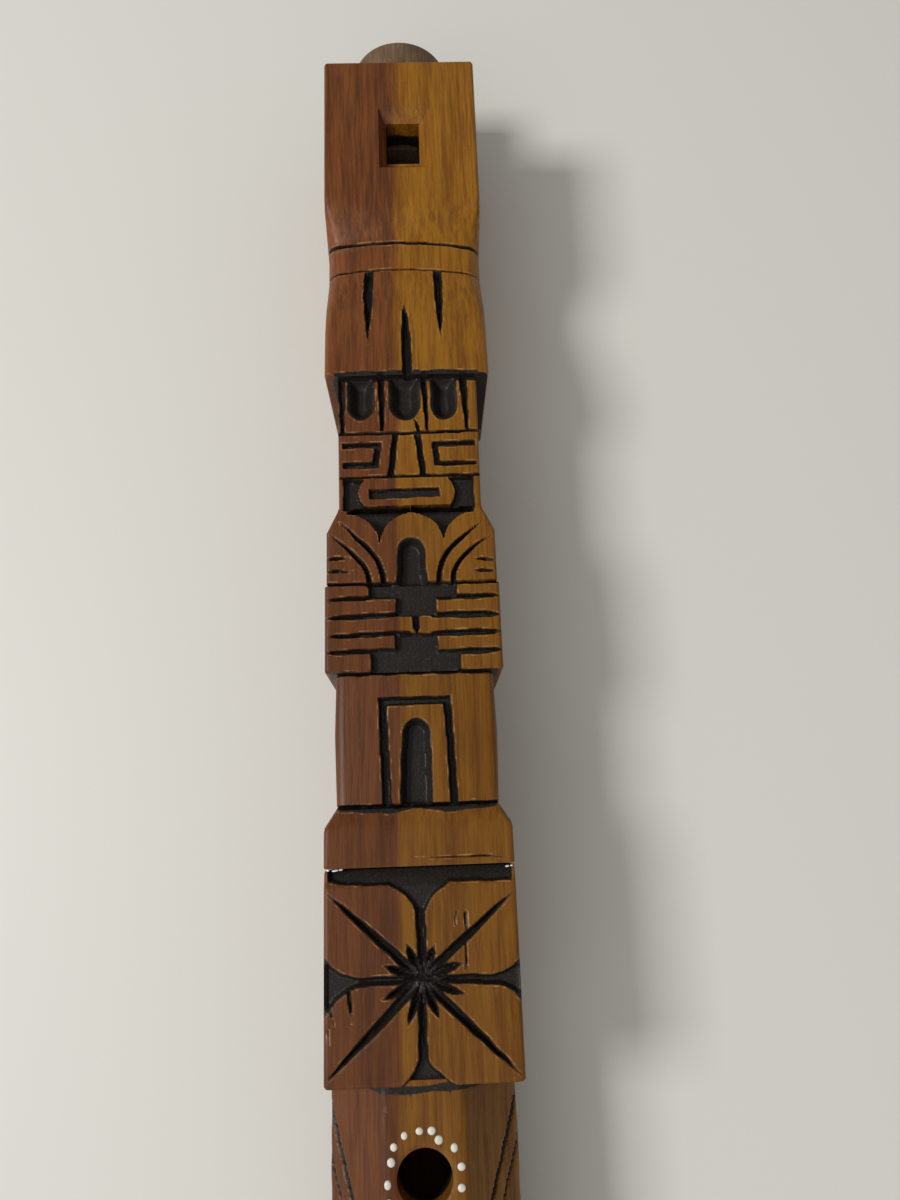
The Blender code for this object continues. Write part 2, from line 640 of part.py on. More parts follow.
# Chevron strokes down both slanted faces of the tube
facet_width = TUBE_ACROSS_FLATS * math.tan(math.pi / OCTAGON_SIDES)
facet_reach = facet_width / 2.0 - CHEVRON_EDGE_INSET


def chevron_cutter(name, side, start, end):
    """A bar laid in a slanted face. Its ends are (distance from the face's middle, down)."""
    mesh = bpy.data.meshes.new(name)
    shape = bmesh.new()
    bmesh.ops.create_cube(shape, size=1.0)
    run = Vector((end[0] - start[0], start[1] - end[1]))
    size = Matrix.Diagonal((run.length, CHEVRON_WIDTH, 2.0 * CHEVRON_DEPTH, 1.0))
    swing = Matrix.Rotation(math.atan2(run.y, run.x), 4, "Z")
    middle = Vector(((start[0] + end[0]) / 2.0, y_at((start[1] + end[1]) / 2.0), TUBE_ACROSS_FLATS / 2.0))
    tilt = Matrix.Rotation(math.radians(-45.0), 4, "Y")
    lift = Matrix.Translation((0.0, 0.0, BORE_HEIGHT))
    bmesh.ops.transform(shape, matrix=lift @ tilt @ Matrix.Translation(middle) @ swing @ size, verts=shape.verts)
    if side > 0:
        bmesh.ops.scale(shape, vec=(-1.0, 1.0, 1.0), verts=shape.verts)
        bmesh.ops.reverse_faces(shape, faces=shape.faces)
    shape.to_mesh(mesh)
    shape.free()
    return add_cutter(name, mesh, body_cutters)


for side, name in ((-1, "left"), (1, "right")):
    for index in range(FINGER_HOLE_COUNT):
        for line in range(2):
            stroke_top = TUBE_TOP + CHEVRON_START + index * FINGER_HOLE_PITCH + line * CHEVRON_GAP
            chevron_cutter("chevron_%s_%d_%d" % (name, index + 1, line + 1), side,
                           (-facet_reach, stroke_top), (facet_reach, stroke_top + CHEVRON_RUN))


# One groove across the front of the foot
foot_groove_share = 1.0 - FOOT_GROOVE_FROM_END / FOOT_BLOCK_LENGTH
foot_groove_half = SAW_CUT_WIDTH / FOOT_BLOCK_LENGTH / 2.0
outline_cutter("foot_groove", foot_block, [
    (-1.1, foot_groove_share - foot_groove_half), (1.1, foot_groove_share - foot_groove_half),
    (1.1, foot_groove_share + foot_groove_half), (-1.1, foot_groove_share + foot_groove_half),
], GROOVE_DEPTH, body_cutters)

cut(body_tube, body_cutters)
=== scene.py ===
"""A carved tarka flute lying on its back on a pale table: the dressed model."""

import math

import bmesh
import bpy
import numpy as np
from mathutils import Matrix, Vector


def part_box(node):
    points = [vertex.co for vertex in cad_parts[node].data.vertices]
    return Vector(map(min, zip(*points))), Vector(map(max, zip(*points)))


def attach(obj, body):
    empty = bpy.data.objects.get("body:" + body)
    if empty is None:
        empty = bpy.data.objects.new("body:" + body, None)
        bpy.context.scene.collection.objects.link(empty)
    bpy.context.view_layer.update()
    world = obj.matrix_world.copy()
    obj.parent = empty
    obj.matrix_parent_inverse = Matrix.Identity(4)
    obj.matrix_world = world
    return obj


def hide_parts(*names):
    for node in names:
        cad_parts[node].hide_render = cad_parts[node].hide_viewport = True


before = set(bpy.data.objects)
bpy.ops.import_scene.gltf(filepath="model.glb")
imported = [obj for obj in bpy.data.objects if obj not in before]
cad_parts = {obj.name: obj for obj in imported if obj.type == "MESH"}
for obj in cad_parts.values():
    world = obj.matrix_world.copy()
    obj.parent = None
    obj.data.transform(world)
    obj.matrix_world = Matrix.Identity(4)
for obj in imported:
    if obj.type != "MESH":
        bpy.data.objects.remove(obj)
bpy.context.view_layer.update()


# Camera: held above the flute's head and tipped a little towards the mouth end.
# Places on the flute are millimetres: x across, down from the head's top edge, up from the table.
MM = 0.001
STUB_LENGTH = 14.0
head_low, head_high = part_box("head_piece")
tube_low, tube_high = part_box("body_tube")
HEAD_TOP_Y = head_high[1] / MM - STUB_LENGTH
HEAD_END = HEAD_TOP_Y - head_low[1] / MM
FOOT_END = HEAD_TOP_Y - tube_low[1] / MM
STOCK_HEIGHT = head_high[2] / MM

CAMERA_ACROSS = 2.83
CAMERA_DOWN = 204.10
CAMERA_RISE = 195.74
CAMERA_TILT = 0.2661
CAMERA_SWING = -0.0277
CAMERA_ROLL = -0.0299
CAMERA_LENS = 18.0
CAMERA_SENSOR = 24.0
CAMERA_NEAR = 0.01

camera_data = bpy.data.cameras.new("camera")
camera_data.sensor_fit = "VERTICAL"
camera_data.sensor_height = CAMERA_SENSOR
camera_data.lens = CAMERA_LENS
camera_data.clip_start = CAMERA_NEAR
camera = bpy.data.objects.new("camera", camera_data)
bpy.context.scene.collection.objects.link(camera)
camera.matrix_world = (
    Matrix.Translation((
        CAMERA_ACROSS * MM, (HEAD_TOP_Y - CAMERA_DOWN) * MM, (STOCK_HEIGHT + CAMERA_RISE) * MM))
    @ Matrix.Rotation(CAMERA_TILT, 4, "X")
    @ Matrix.Rotation(CAMERA_SWING, 4, "Y")
    @ Matrix.Rotation(CAMERA_ROLL, 4, "Z")
)
bpy.context.scene.camera = camera


# Head: one square block of wood, carved on its front with a totem figure, painted red-brown on its left
# side as shade and golden on its right side as light. Saw, chisel and knife cuts part the hat, face, chest,
# hands, skirt and base; the cuts are stained black with a brush, the window's walls and the band under the
# hat's ledge are painted black as shade, and the whole is varnished. Its lower end is glued to the body.
class Socket:
    """A node's output. Sums of sockets add Math nodes."""

    def __init__(self, finish, out):
        self.finish = finish
        self.out = out

    def __add__(self, other):
        return self.finish.math("ADD", self, other)

    def __sub__(self, other):
        return self.finish.math("SUBTRACT", self, other)

    def __rsub__(self, other):
        return self.finish.math("SUBTRACT", other, self)

    def __mul__(self, other):
        return self.finish.math("MULTIPLY", self, other)

    __radd__ = __add__
    __rmul__ = __mul__


class Finish:
    """A material, built from nodes on the object's own coordinates."""

    def __init__(self, name):
        self.material = bpy.data.materials.new(name)
        self.material.use_nodes = True
        self.tree = self.material.node_tree
        self.shader = self.tree.nodes["Principled BSDF"]

    def feed(self, entry, value):
        if isinstance(value, Socket):
            self.tree.links.new(value.out, entry)
        else:
            entry.default_value = value

    def node(self, kind, settings, inputs, out=0):
        made = self.tree.nodes.new(kind)
        for key, value in settings.items():
            setattr(made, key, value)
        for key, value in inputs.items():
            self.feed(made.inputs[key], value)
        return Socket(self, made.outputs[out])

    def math(self, operation, first, second):
        return self.node("ShaderNodeMath", {"operation": operation}, {0: first, 1: second})

    def step(self, value, low, high):
        """0 at low, 1 at high, smooth between."""
        return self.node("ShaderNodeMapRange", {"interpolation_type": "SMOOTHSTEP"}, {
            "Value": value, "From Min": low, "From Max": high, "To Min": 0.0, "To Max": 1.0})

    def blend(self, share, first, second):
        return self.node("ShaderNodeMix", {"data_type": "FLOAT"}, {0: share, 2: first, 3: second})

    def mix(self, share, first, second):
        return self.node("ShaderNodeMix", {"data_type": "RGBA"}, {0: share, 6: first, 7: second}, out=2)

    def place(self, stretch):
        """Object coordinates in millimetres, stretched along each axis."""
        coordinates = self.node("ShaderNodeTexCoord", {}, {}, out="Object")
        return self.node("ShaderNodeMapping", {}, {
            "Vector": coordinates, "Scale": tuple(value / MM for value in stretch)})

    def noise(self, stretch, scale, detail, roughness=0.55):
        return self.node("ShaderNodeTexNoise", {}, {
            "Vector": self.place(stretch), "Scale": scale, "Detail": detail, "Roughness": roughness})

    def across(self):
        return self.node("ShaderNodeSeparateXYZ", {}, {"Vector": self.place(EVEN)}, out="X")

    def along(self):
        return self.node("ShaderNodeSeparateXYZ", {}, {"Vector": self.place(EVEN)}, out="Y")

    def field(self, name):
        return self.node("ShaderNodeAttribute", {"attribute_name": name}, {}, out="Fac")

    def bump(self, height, distance):
        return self.node("ShaderNodeBump", {}, {"Height": height, "Distance": distance * MM})

    def close(self, **inputs):
        for key, value in inputs.items():
            self.feed(self.shader.inputs[key.replace("_", " ")], value)
        return self.material


def screen_colour(red, green, blue):
    """A colour given by its 0 to 255 screen values."""
    values = []
    for value in (red, green, blue):
        share = value / 255.0
        values.append(share / 12.92 if share <= 0.04045 else ((share + 0.055) / 1.055) ** 2.4)
    return (*values, 1.0)


EVEN = (1.0, 1.0, 1.0)
GRAIN = (1.0, 0.05, 0.6)
FIBRE = (1.0, 0.09, 1.0)
GLINT = (1.0, 0.14, 1.0)
BRUSH = (1.0, 0.8, 1.0)
BROAD = (0.35, 0.35, 0.35)
SLOW_GRAIN = (0.2, 0.03, 0.2)

# The red-brown colours are the left side of the wood painted as shade; the golden ones are the right side
# painted as light.
SHADED_SIDE_WOOD = screen_colour(128, 74, 34)
SHADED_SIDE_DARK = screen_colour(84, 45, 20)
LIT_SIDE_WOOD = screen_colour(160, 108, 26)
LIT_SIDE_DARK = screen_colour(116, 70, 16)
PORE = screen_colour(58, 30, 14)
PALE_WEAR_AND_HIGHLIGHT = screen_colour(190, 140, 84)
SMOKED = screen_colour(66, 32, 8)
BLACK_STAIN_AND_SHADE = screen_colour(30, 26, 22)
GREY_DUST_AND_SHEEN = screen_colour(84, 80, 76)
LIT_SIDE_EDGE = -4.7
LIT_SIDE_DRIFT = 0.014
SMOKE_FROM = 190.0
SMOKE_TO = 60.0
VARNISH_ROUGHNESS = 0.34
STAIN_ROUGHNESS = 0.42


def varnished_wood(name):
    """Varnished wood: left side red-brown as painted shade, right side golden as painted light, paler grain
    streaks as painted highlight, ragged black stain in the cuts, black painted shade in hollows, and pale
    lips round them from wear and painted highlight.
    """
    wood = Finish(name)
    along = wood.along()
    wander = wood.noise(SLOW_GRAIN, scale=1.0, detail=2.0)
    # Painted light and shade: the left side red-brown, the right side golden, parted along a wavering line.
    lit_side = wood.step(
        wood.across() - LIT_SIDE_EDGE - along * LIT_SIDE_DRIFT + (wander - 0.5) * 3.0, low=-0.9, high=0.9)
    broad = wood.noise(GRAIN, scale=0.35, detail=3.0)
    streak = wood.noise(GRAIN, scale=1.5, detail=5.0, roughness=0.65)
    dark_grain = wood.step(broad * 0.45 + streak * 0.55, low=0.36, high=0.66)
    red = wood.mix(dark_grain, SHADED_SIDE_WOOD, SHADED_SIDE_DARK)
    lit_side_grain = wood.mix(dark_grain, LIT_SIDE_WOOD, LIT_SIDE_DARK)
    body = wood.mix(lit_side, red, lit_side_grain)
    fibre = wood.noise(FIBRE, scale=4.2, detail=3.0, roughness=0.7)
    pores = wood.step(fibre, low=0.60, high=0.74)
    body = wood.mix(pores * 0.75, body, PORE)
    # Painted highlight: paler streaks along the grain, where the fibres catch the light.
    glint = wood.step(wood.noise(GLINT, scale=2.6, detail=2.0), low=0.66, high=0.80)
    body = wood.mix(glint * 0.2, body, PALE_WEAR_AND_HIGHLIGHT)
    smoke = wood.step(along, low=SMOKE_FROM, high=SMOKE_TO)
    body = wood.mix(smoke * 0.42 + 0.02, body, SMOKED)
    # Black: stain in the cuts, and painted shade in the window, under the hat's ledge and in the finger
    # holes.
    ragged = wood.noise(BRUSH, scale=2.4, detail=4.0, roughness=0.7)
    stain_and_shade = wood.step(wood.field("stain_and_shade") + (ragged - 0.5) * 0.16, low=0.47, high=0.56)
    # Pale lips round the cuts: partly worn wood, partly a painted highlight where the edges catch the
    # light.
    lip_patches = wood.noise(BROAD, scale=1.0, detail=3.0)
    wear_and_highlight = wood.step(
        wood.field("lip_wear_and_highlight") + (ragged - 0.5) * 0.6 + (lip_patches - 0.5) * 1.6, low=0.62, high=1.05)
    body = wood.mix(wear_and_highlight * 0.55, body, PALE_WEAR_AND_HIGHLIGHT)
    # Grey patches in the black: dust, and a painted sheen of light on the glossy black.
    dust_and_sheen = wood.step(wood.noise(EVEN, scale=1.9, detail=5.0, roughness=0.8), low=0.50, high=0.78)
    black = wood.mix(dust_and_sheen * 0.55, BLACK_STAIN_AND_SHADE, GREY_DUST_AND_SHEEN)
    relief = fibre * -0.35 + streak * -0.5 + ragged * stain_and_shade * 0.6
    return wood.close(
        Base_Color=wood.mix(stain_and_shade, body, black),
        Roughness=wood.blend(
            stain_and_shade, streak * 0.22 + VARNISH_ROUGHNESS + wear_and_highlight * 0.2, dust_and_sheen * 0.25 + STAIN_ROUGHNESS),
        Normal=wood.bump(relief, distance=0.10),
        Coat_Weight=0.06,
        Coat_Roughness=0.3,
        Specular_IOR_Level=0.22,
    )


head_wood = varnished_wood("head_varnished_wood")


def outline_distance(x, down, outline):
    """Distance to a closed outline, negative inside it."""
    points = np.asarray(outline, float)
    nearest = np.full(x.shape, np.inf)
    inside = np.zeros(x.shape, bool)
    for start, end in zip(points, np.roll(points, -1, axis=0)):
        run = end - start
        across = x - start[0]
        along = down - start[1]
        share = np.clip((across * run[0] + along * run[1]) / (run @ run + TINY), 0.0, 1.0)
        nearest = np.minimum(nearest, np.hypot(across - share * run[0], along - share * run[1]))
        if abs(run[1]) > TINY:
            crosses = (start[1] > down) != (end[1] > down)
            inside ^= crosses & (x < run[0] * (down - start[1]) / run[1] + start[0])
    return np.where(inside, -nearest, nearest)


def line_distance(x, down, line, widths):
    """Distance to a groove along a line, whose width changes from point to point."""
    points = np.asarray(line, float)
    nearest = np.full(x.shape, np.inf)
    for start, end, first, last in zip(points, points[1:], widths, widths[1:]):
        run = end - start
        across = x - start[0]
        along = down - start[1]
        share = np.clip((across * run[0] + along * run[1]) / (run @ run + TINY), 0.0, 1.0)
        half = (first * (1.0 - share) + last * share) / 2.0
        nearest = np.minimum(nearest, np.hypot(across - share * run[0], along - share * run[1]) - half)
    return nearest


def smooth(value, low, high):
    share = np.clip((value - low) / (high - low), 0.0, 1.0)
    return share * share * (3.0 - 2.0 * share)


def arc(centre, reach, start, end, steps=10):
    """Points on an ellipse, angles in degrees, 90 towards the mouth end."""
    points = []
    for step in range(steps + 1):
        angle = math.radians(start + (end - start) * step / steps)
        points.append((centre[0] + reach[0] * math.cos(angle), centre[1] - reach[1] * math.sin(angle)))
    return points


class Cut:
    """What one job with chisel or knife leaves.

    The outline is closed, or a line where widths are given. The cut sinks by depth, down a sloping wall.
    """

    def __init__(self, outline, depth, wall, widths=None, stained=True):
        self.outline = outline
        self.depth = depth
        self.wall = wall
        self.widths = widths
        self.stained = stained

    def distance(self, x, down):
        if self.widths is None:
            return outline_distance(x, down, self.outline)
        return line_distance(x, down, self.outline, self.widths)

    def near(self, x, down):
        """Where the cut and the stain round it can reach."""
        low = np.min(self.outline, axis=0)
        high = np.max(self.outline, axis=0)
        margin = STAIN_REACH
        if self.widths is not None:
            margin += max(self.widths)
        return (
            (x > low[0] - margin) & (x < high[0] + margin)
            & (down > low[1] - margin) & (down < high[1] + margin)
        )


TINY = 1e-12
STAIN_REACH = 1.6
SLOW_SWAY = 0.07
QUICK_SWAY = 0.02


def carve(x, down, cuts):
    """Depth of the carving, and how far inside a stained cut each point is. The knife sways a little."""
    knife_x = x + SLOW_SWAY * np.sin(1.1 * down + 0.7 * x) + QUICK_SWAY * np.sin(3.1 * down + 1.3 * x)
    knife_down = down + SLOW_SWAY * np.sin(x + 0.4 * down) + QUICK_SWAY * np.sin(3.3 * x - 0.9 * down)
    depth = np.zeros(x.shape)
    inside = np.full(x.shape, -STAIN_REACH)
    for cut in cuts:
        near = cut.near(x, down)
        if not near.any():
            continue
        distance = cut.distance(knife_x[near], knife_down[near])
        depth[near] = np.maximum(depth[near], cut.depth * smooth(-distance, 0.0, cut.wall))
        if cut.stained:
            inside[near] = np.maximum(inside[near], -distance)
    return depth, inside


# Levels of the head, down from its top edge
FACE_TOP = 93.4
FACE_END = 128.0
CHEST_END = 146.4
HANDS_END = 166.6
SKIRT_END = 195.4
LEDGE = 0.03

# down, half width, setback of the front, crown, corner radius
HEAD_PROFILE = [
    (0.0, 19.3, 0.7, 0.0, 0.5),
    (0.25, 19.8, 0.2, 0.0, 0.7),
    (0.8, 20.0, 0.0, 0.0, 0.8),
    (42.0, 20.0, 0.0, 0.1, 0.9),
    (45.5, 20.0, 0.35, 0.5, 1.4),
    (49.5, 19.9, 1.5, 1.6, 3.0),
    (53.0, 19.8, 2.7, 2.4, 4.2),
    (56.0, 19.6, 3.0, 2.8, 4.6),
    (62.5, 19.6, 3.0, 2.8, 4.6),
    (67.0, 19.7, 2.1, 2.4, 3.6),
    (73.0, 19.9, 1.1, 1.7, 2.6),
    (80.0, 20.0, 0.45, 1.0, 2.0),
    (88.0, 20.0, 0.1, 0.6, 1.6),
    (92.9, 20.0, 0.0, 0.5, 1.5),
    (FACE_TOP, 19.7, 0.3, 0.5, 1.5),
    (FACE_TOP + LEDGE, 16.9, 2.4, 0.1, 0.6),
    (FACE_END, 16.7, 2.4, 0.1, 0.6),
    (FACE_END + LEDGE, 16.7, 0.35, 0.1, 0.6),
    (FACE_END + 0.8, 16.9, 0.0, 0.1, 0.8),
    (133.9, 19.4, 0.0, 0.15, 0.8),
    (CHEST_END - 0.4, 19.4, 0.0, 0.15, 0.8),
    (CHEST_END, 19.2, 0.3, 0.15, 0.8),
    (CHEST_END + LEDGE, 19.5, 0.25, 0.1, 0.8),
    (CHEST_END + 0.4, 19.8, 0.0, 0.1, 0.9),
    (HANDS_END - 0.4, 19.8, 0.0, 0.1, 0.9),
    (HANDS_END, 19.5, 0.3, 0.1, 0.9),
    (HANDS_END + LEDGE, 17.3, 1.2, 0.9, 1.2),
    (HANDS_END + 0.6, 17.5, 0.9, 0.9, 1.8),
    (180.0, 17.9, 0.9, 0.9, 2.2),
    (SKIRT_END - 0.4, 17.5, 0.9, 0.9, 2.0),
    (SKIRT_END, 17.3, 1.1, 0.9, 1.8),
    (SKIRT_END + LEDGE, 17.3, 1.2, 0.8, 1.5),
    (199.6, 19.8, 0.1, 0.1, 1.0),
    (200.6, 20.0, 0.0, 0.1, 0.9),
    (HEAD_END - 0.3, 20.0, 0.0, 0.1, 0.8),
    (HEAD_END, 19.8, 0.15, 0.1, 0.7),
]

# Neck and hat: two saw cuts round the neck band and three long cuts in the hat
hat_cuts = [
    Cut([(-20.5, 54.2), (-14.0, 54.5), (0.0, 54.7), (14.0, 55.0), (20.5, 55.4)],
        depth=1.5, wall=0.5, widths=(1.1, 0.8, 0.8, 0.8, 1.1)),
    Cut([(-20.5, 62.4), (-14.0, 62.2), (0.0, 62.5), (14.0, 62.8), (20.5, 63.3)],
        depth=1.4, wall=0.4, widths=(0.9, 0.55, 0.5, 0.55, 0.9)),
    Cut([(-10.1, 62.6), (-7.6, 62.6), (-8.1, 74.0), (-8.9, 81.5), (-9.3, 85.4), (-10.0, 79.0),
         (-10.5, 70.0)], depth=1.9, wall=0.9),
    Cut([(7.2, 62.9), (9.6, 62.9), (9.5, 74.0), (9.1, 80.0), (8.6, 83.8), (7.9, 79.0), (7.4, 72.0)],
        depth=1.9, wall=0.9),
    Cut([(-1.1, 94.0), (-1.2, 84.0), (-0.8, 76.0), (-0.2, 73.6), (0.6, 77.0), (1.3, 84.0), (1.5, 94.0)],
        depth=1.9, wall=0.9),
]


def hanging_pocket(left, right, low):
    """A round-ended pocket hollowed with a gouge below the hat."""
    half = (right - left) / 2.0
    drop = half * 1.1
    end = arc(((left + right) / 2.0, low - drop), (half, drop), 0.0, -180.0)
    return Cut([(left, 92.6), (right, 92.6)] + end, depth=2.7, wall=2.9)


# Brow: three pockets with cuts between them, and the line below
brow_cuts = [
    # The first cut, a shallow band right under the hat's ledge, is blackened as painted shade.
    Cut([(-17.5, 92.8), (17.5, 92.8), (17.5, 94.5), (-17.5, 94.1)], depth=0.5, wall=0.3),
    hanging_pocket(-14.7, -7.9, 104.7),
    hanging_pocket(-4.6, 3.2, 105.0),
    hanging_pocket(5.5, 12.1, 105.0),
    Cut([(-16.9, 93.0), (-15.1, 93.0), (-15.1, 101.0), (-15.3, 107.9), (-16.4, 107.9)],
        depth=1.6, wall=0.6),
    Cut([(-7.3, 93.0), (-5.5, 93.0), (-5.5, 101.0), (-5.8, 107.4), (-6.8, 107.4)], depth=1.6, wall=0.6),
    Cut([(3.1, 93.0), (4.8, 93.0), (5.0, 101.0), (4.9, 107.6), (4.2, 107.6)], depth=1.6, wall=0.6),
    Cut([(12.5, 93.0), (14.7, 93.0), (14.7, 101.0), (14.6, 107.5), (13.8, 107.5)], depth=1.7, wall=0.7),
    Cut([(-17.5, 108.1), (0.0, 108.2), (17.5, 107.8)], depth=1.5, wall=0.4, widths=(0.8, 0.9, 0.8)),
    Cut([(1.6, 104.5), (2.1, 106.3), (2.7, 108.2)], depth=1.0, wall=0.3, widths=(0.3, 1.0, 0.9)),
]

# Nose and eyes: two leaning cuts, and a square hook on each side
eye_cuts = [
    Cut([(-3.9, 108.2), (-2.4, 108.2), (-3.0, 114.0), (-3.6, 119.3), (-5.3, 119.3), (-4.6, 114.0)],
        depth=1.6, wall=0.6),
    Cut([(1.3, 108.2), (3.0, 108.2), (3.6, 114.0), (4.2, 119.3), (2.5, 119.3), (2.0, 114.0)],
        depth=1.6, wall=0.6),
    Cut([(-16.0, 110.4), (-6.4, 110.4), (-6.8, 114.0), (-7.3, 117.2), (-15.8, 117.1), (-15.8, 115.4),
         (-8.7, 115.4), (-8.3, 111.9), (-16.0, 111.9)], depth=1.5, wall=0.5),
    Cut([(16.1, 110.3), (5.5, 110.5), (5.9, 116.8), (11.0, 117.0), (16.2, 116.6), (16.2, 115.7),
         (7.4, 115.5), (7.1, 112.0), (16.1, 111.8)], depth=1.5, wall=0.5),
    Cut([(-17.5, 119.5), (0.0, 119.3), (17.5, 119.3)], depth=1.5, wall=0.4, widths=(0.5, 0.8, 0.8)),
]

# Mouth: a plate left standing in a sunk ground, with one slot
mouth_cuts = [
    Cut([(-15.7, 119.6), (-10.6, 119.9), (-11.7, 121.2), (-12.2, 123.2), (-11.7, 125.4), (-10.2, 127.4),
         (9.0, 127.5), (10.2, 125.6), (10.6, 123.4), (10.1, 121.3), (8.9, 119.9), (15.2, 119.5),
         (15.2, 128.6), (-15.7, 128.6)], depth=1.6, wall=0.45),
    Cut([(-9.7, 122.5), (7.1, 122.3), (7.1, 124.7), (-9.7, 125.0)], depth=1.3, wall=0.4),
]


def curve(points, steps=5):
    """A smooth Catmull-Rom line through a few points."""
    line = []
    padded = np.array([points[0]] + list(points) + [points[-1]], float)
    for before, start, end, after in zip(padded, padded[1:], padded[2:], padded[3:]):
        for step in range(steps):
            share = step / steps
            line.append(tuple(0.5 * (
                2 * start + (end - before) * share
                + (2 * before - 5 * start + 4 * end - after) * share ** 2
                + (3 * start - before - 3 * end + after) * share ** 3)))
    line.append(tuple(points[-1]))
    return line


def feather_stroke(points, early_width):
    """A bent knife stroke that starts at a point, swells quickly and stays broad."""
    line = curve(points)
    widths = np.interp(np.linspace(0.0, 0.8, len(line)), (0.0, 0.3, 0.8), (0.1, early_width, 1.4))
    return Cut(line, depth=1.6, wall=0.6, widths=widths)


def knife_dash(outer, middle, inner, outer_width, middle_width):
    return Cut([outer, middle, inner], depth=1.0, wall=0.4, widths=(outer_width, middle_width, 0.1))


# Chest: three lobes with a deep ground above them, a doorway, bent strokes and short dashes
LOBE_FOOT = 136.9
LOBE_REACH = (7.35, 7.4)
LOBE_MIDDLES = (-14.6, 0.2, 14.9)
LOBE_GROUND_TOP = 126.8
chest_cuts = [
    Cut([(LOBE_MIDDLES[0], LOBE_GROUND_TOP), (LOBE_MIDDLES[0], 129.5)]
        + arc((LOBE_MIDDLES[0], LOBE_FOOT), LOBE_REACH, 90.0, 2.0)
        + arc((LOBE_MIDDLES[1], LOBE_FOOT), LOBE_REACH, 178.0, 90.0)
        + [(LOBE_MIDDLES[1], LOBE_GROUND_TOP)], depth=3.9, wall=0.35),
    Cut([(LOBE_MIDDLES[1], LOBE_GROUND_TOP)]
        + arc((LOBE_MIDDLES[1], LOBE_FOOT), LOBE_REACH, 90.0, 2.0)
        + arc((LOBE_MIDDLES[2], LOBE_FOOT), LOBE_REACH, 178.0, 90.0)
        + [(LOBE_MIDDLES[2], LOBE_GROUND_TOP)], depth=3.9, wall=0.35),
    Cut(arc((0.0, 138.7), (3.25, 3.3), 0.0, 180.0)
        + [(-3.4, 142.0), (-3.8, 147.5), (3.8, 147.5), (3.3, 142.0)], depth=2.6, wall=1.6),
    feather_stroke([(-16.3, 131.3), (-13.2, 134.6), (-9.0, 139.0), (-6.9, 143.0), (-6.5, 146.8)], 1.2),
    feather_stroke([(-18.6, 134.3), (-15.4, 137.2), (-11.9, 140.8), (-10.0, 144.0), (-9.6, 146.8)], 1.1),
    feather_stroke([(17.0, 131.6), (13.2, 134.6), (8.6, 139.0), (6.5, 143.0), (6.2, 146.8)], 1.2),
    feather_stroke([(18.4, 135.5), (15.0, 137.6), (11.4, 140.9), (9.7, 144.0), (9.3, 146.8)], 1.1),
    knife_dash((-18.9, 140.3), (-17.0, 140.2), (-14.0, 140.2), 0.7, 1.0),
    knife_dash((-18.9, 143.3), (-16.8, 143.2), (-13.4, 143.3), 0.6, 1.0),
    knife_dash((18.5, 141.3), (16.4, 141.1), (14.2, 141.2), 0.6, 0.9),
    knife_dash((18.5, 144.0), (16.0, 143.8), (13.8, 143.9), 0.6, 1.0),
    Cut([(-20.5, 146.3), (0.0, 146.6), (20.5, 146.6)], depth=2.2, wall=0.4, widths=(0.8, 0.8, 0.8)),
]

# Hands: the ground above and below the clasped fingers, the slot between the longest two, and the gaps
hands_cuts = [
    Cut([(-9.9, 146.4), (10.2, 146.4), (10.2, 149.7), (5.3, 150.0), (5.6, 154.2), (-3.8, 154.2),
         (-3.8, 149.7), (-9.9, 149.5)], depth=1.7, wall=0.35),
    Cut([(-4.2, 158.0), (5.3, 158.2), (5.6, 162.5), (10.4, 162.6), (10.6, 166.9), (-9.6, 166.9),
         (-9.6, 162.0), (-4.2, 161.9)], depth=1.7, wall=0.35),
    Cut([(-0.3, 153.8), (1.6, 153.8), (1.5, 157.0), (0.7, 158.6), (0.0, 157.0)], depth=1.6, wall=0.5),
]
# outer end, inner end, widest
FINGER_GAPS = [
    ((-19.6, 149.9), (-3.6, 149.5), 1.15),
    ((-19.6, 154.2), (-2.6, 153.7), 1.35),
    ((-19.6, 158.5), (-1.0, 157.9), 1.25),
    ((-19.6, 162.1), (-4.0, 161.9), 1.3),
    ((19.9, 149.8), (5.2, 150.0), 1.35),
    ((19.9, 154.2), (4.6, 154.0), 1.7),
    ((19.9, 158.2), (4.6, 158.3), 1.6),
    ((19.9, 162.4), (5.5, 162.7), 1.6),
]


def between(start, end, shares):
    """Points at some shares of the way from start to end."""
    return [(start[0] + (end[0] - start[0]) * share, start[1] + (end[1] - start[1]) * share)
            for share in shares]


for outer, inner, widest in FINGER_GAPS:
    gap_widths = (0.15, widest * 0.75, widest, widest * 0.95, widest * 0.8)
    hands_cuts.append(Cut(
        between(outer, inner, (0.0, 0.12, 0.35, 0.7, 1.0)), depth=1.5, wall=0.5, widths=gap_widths))

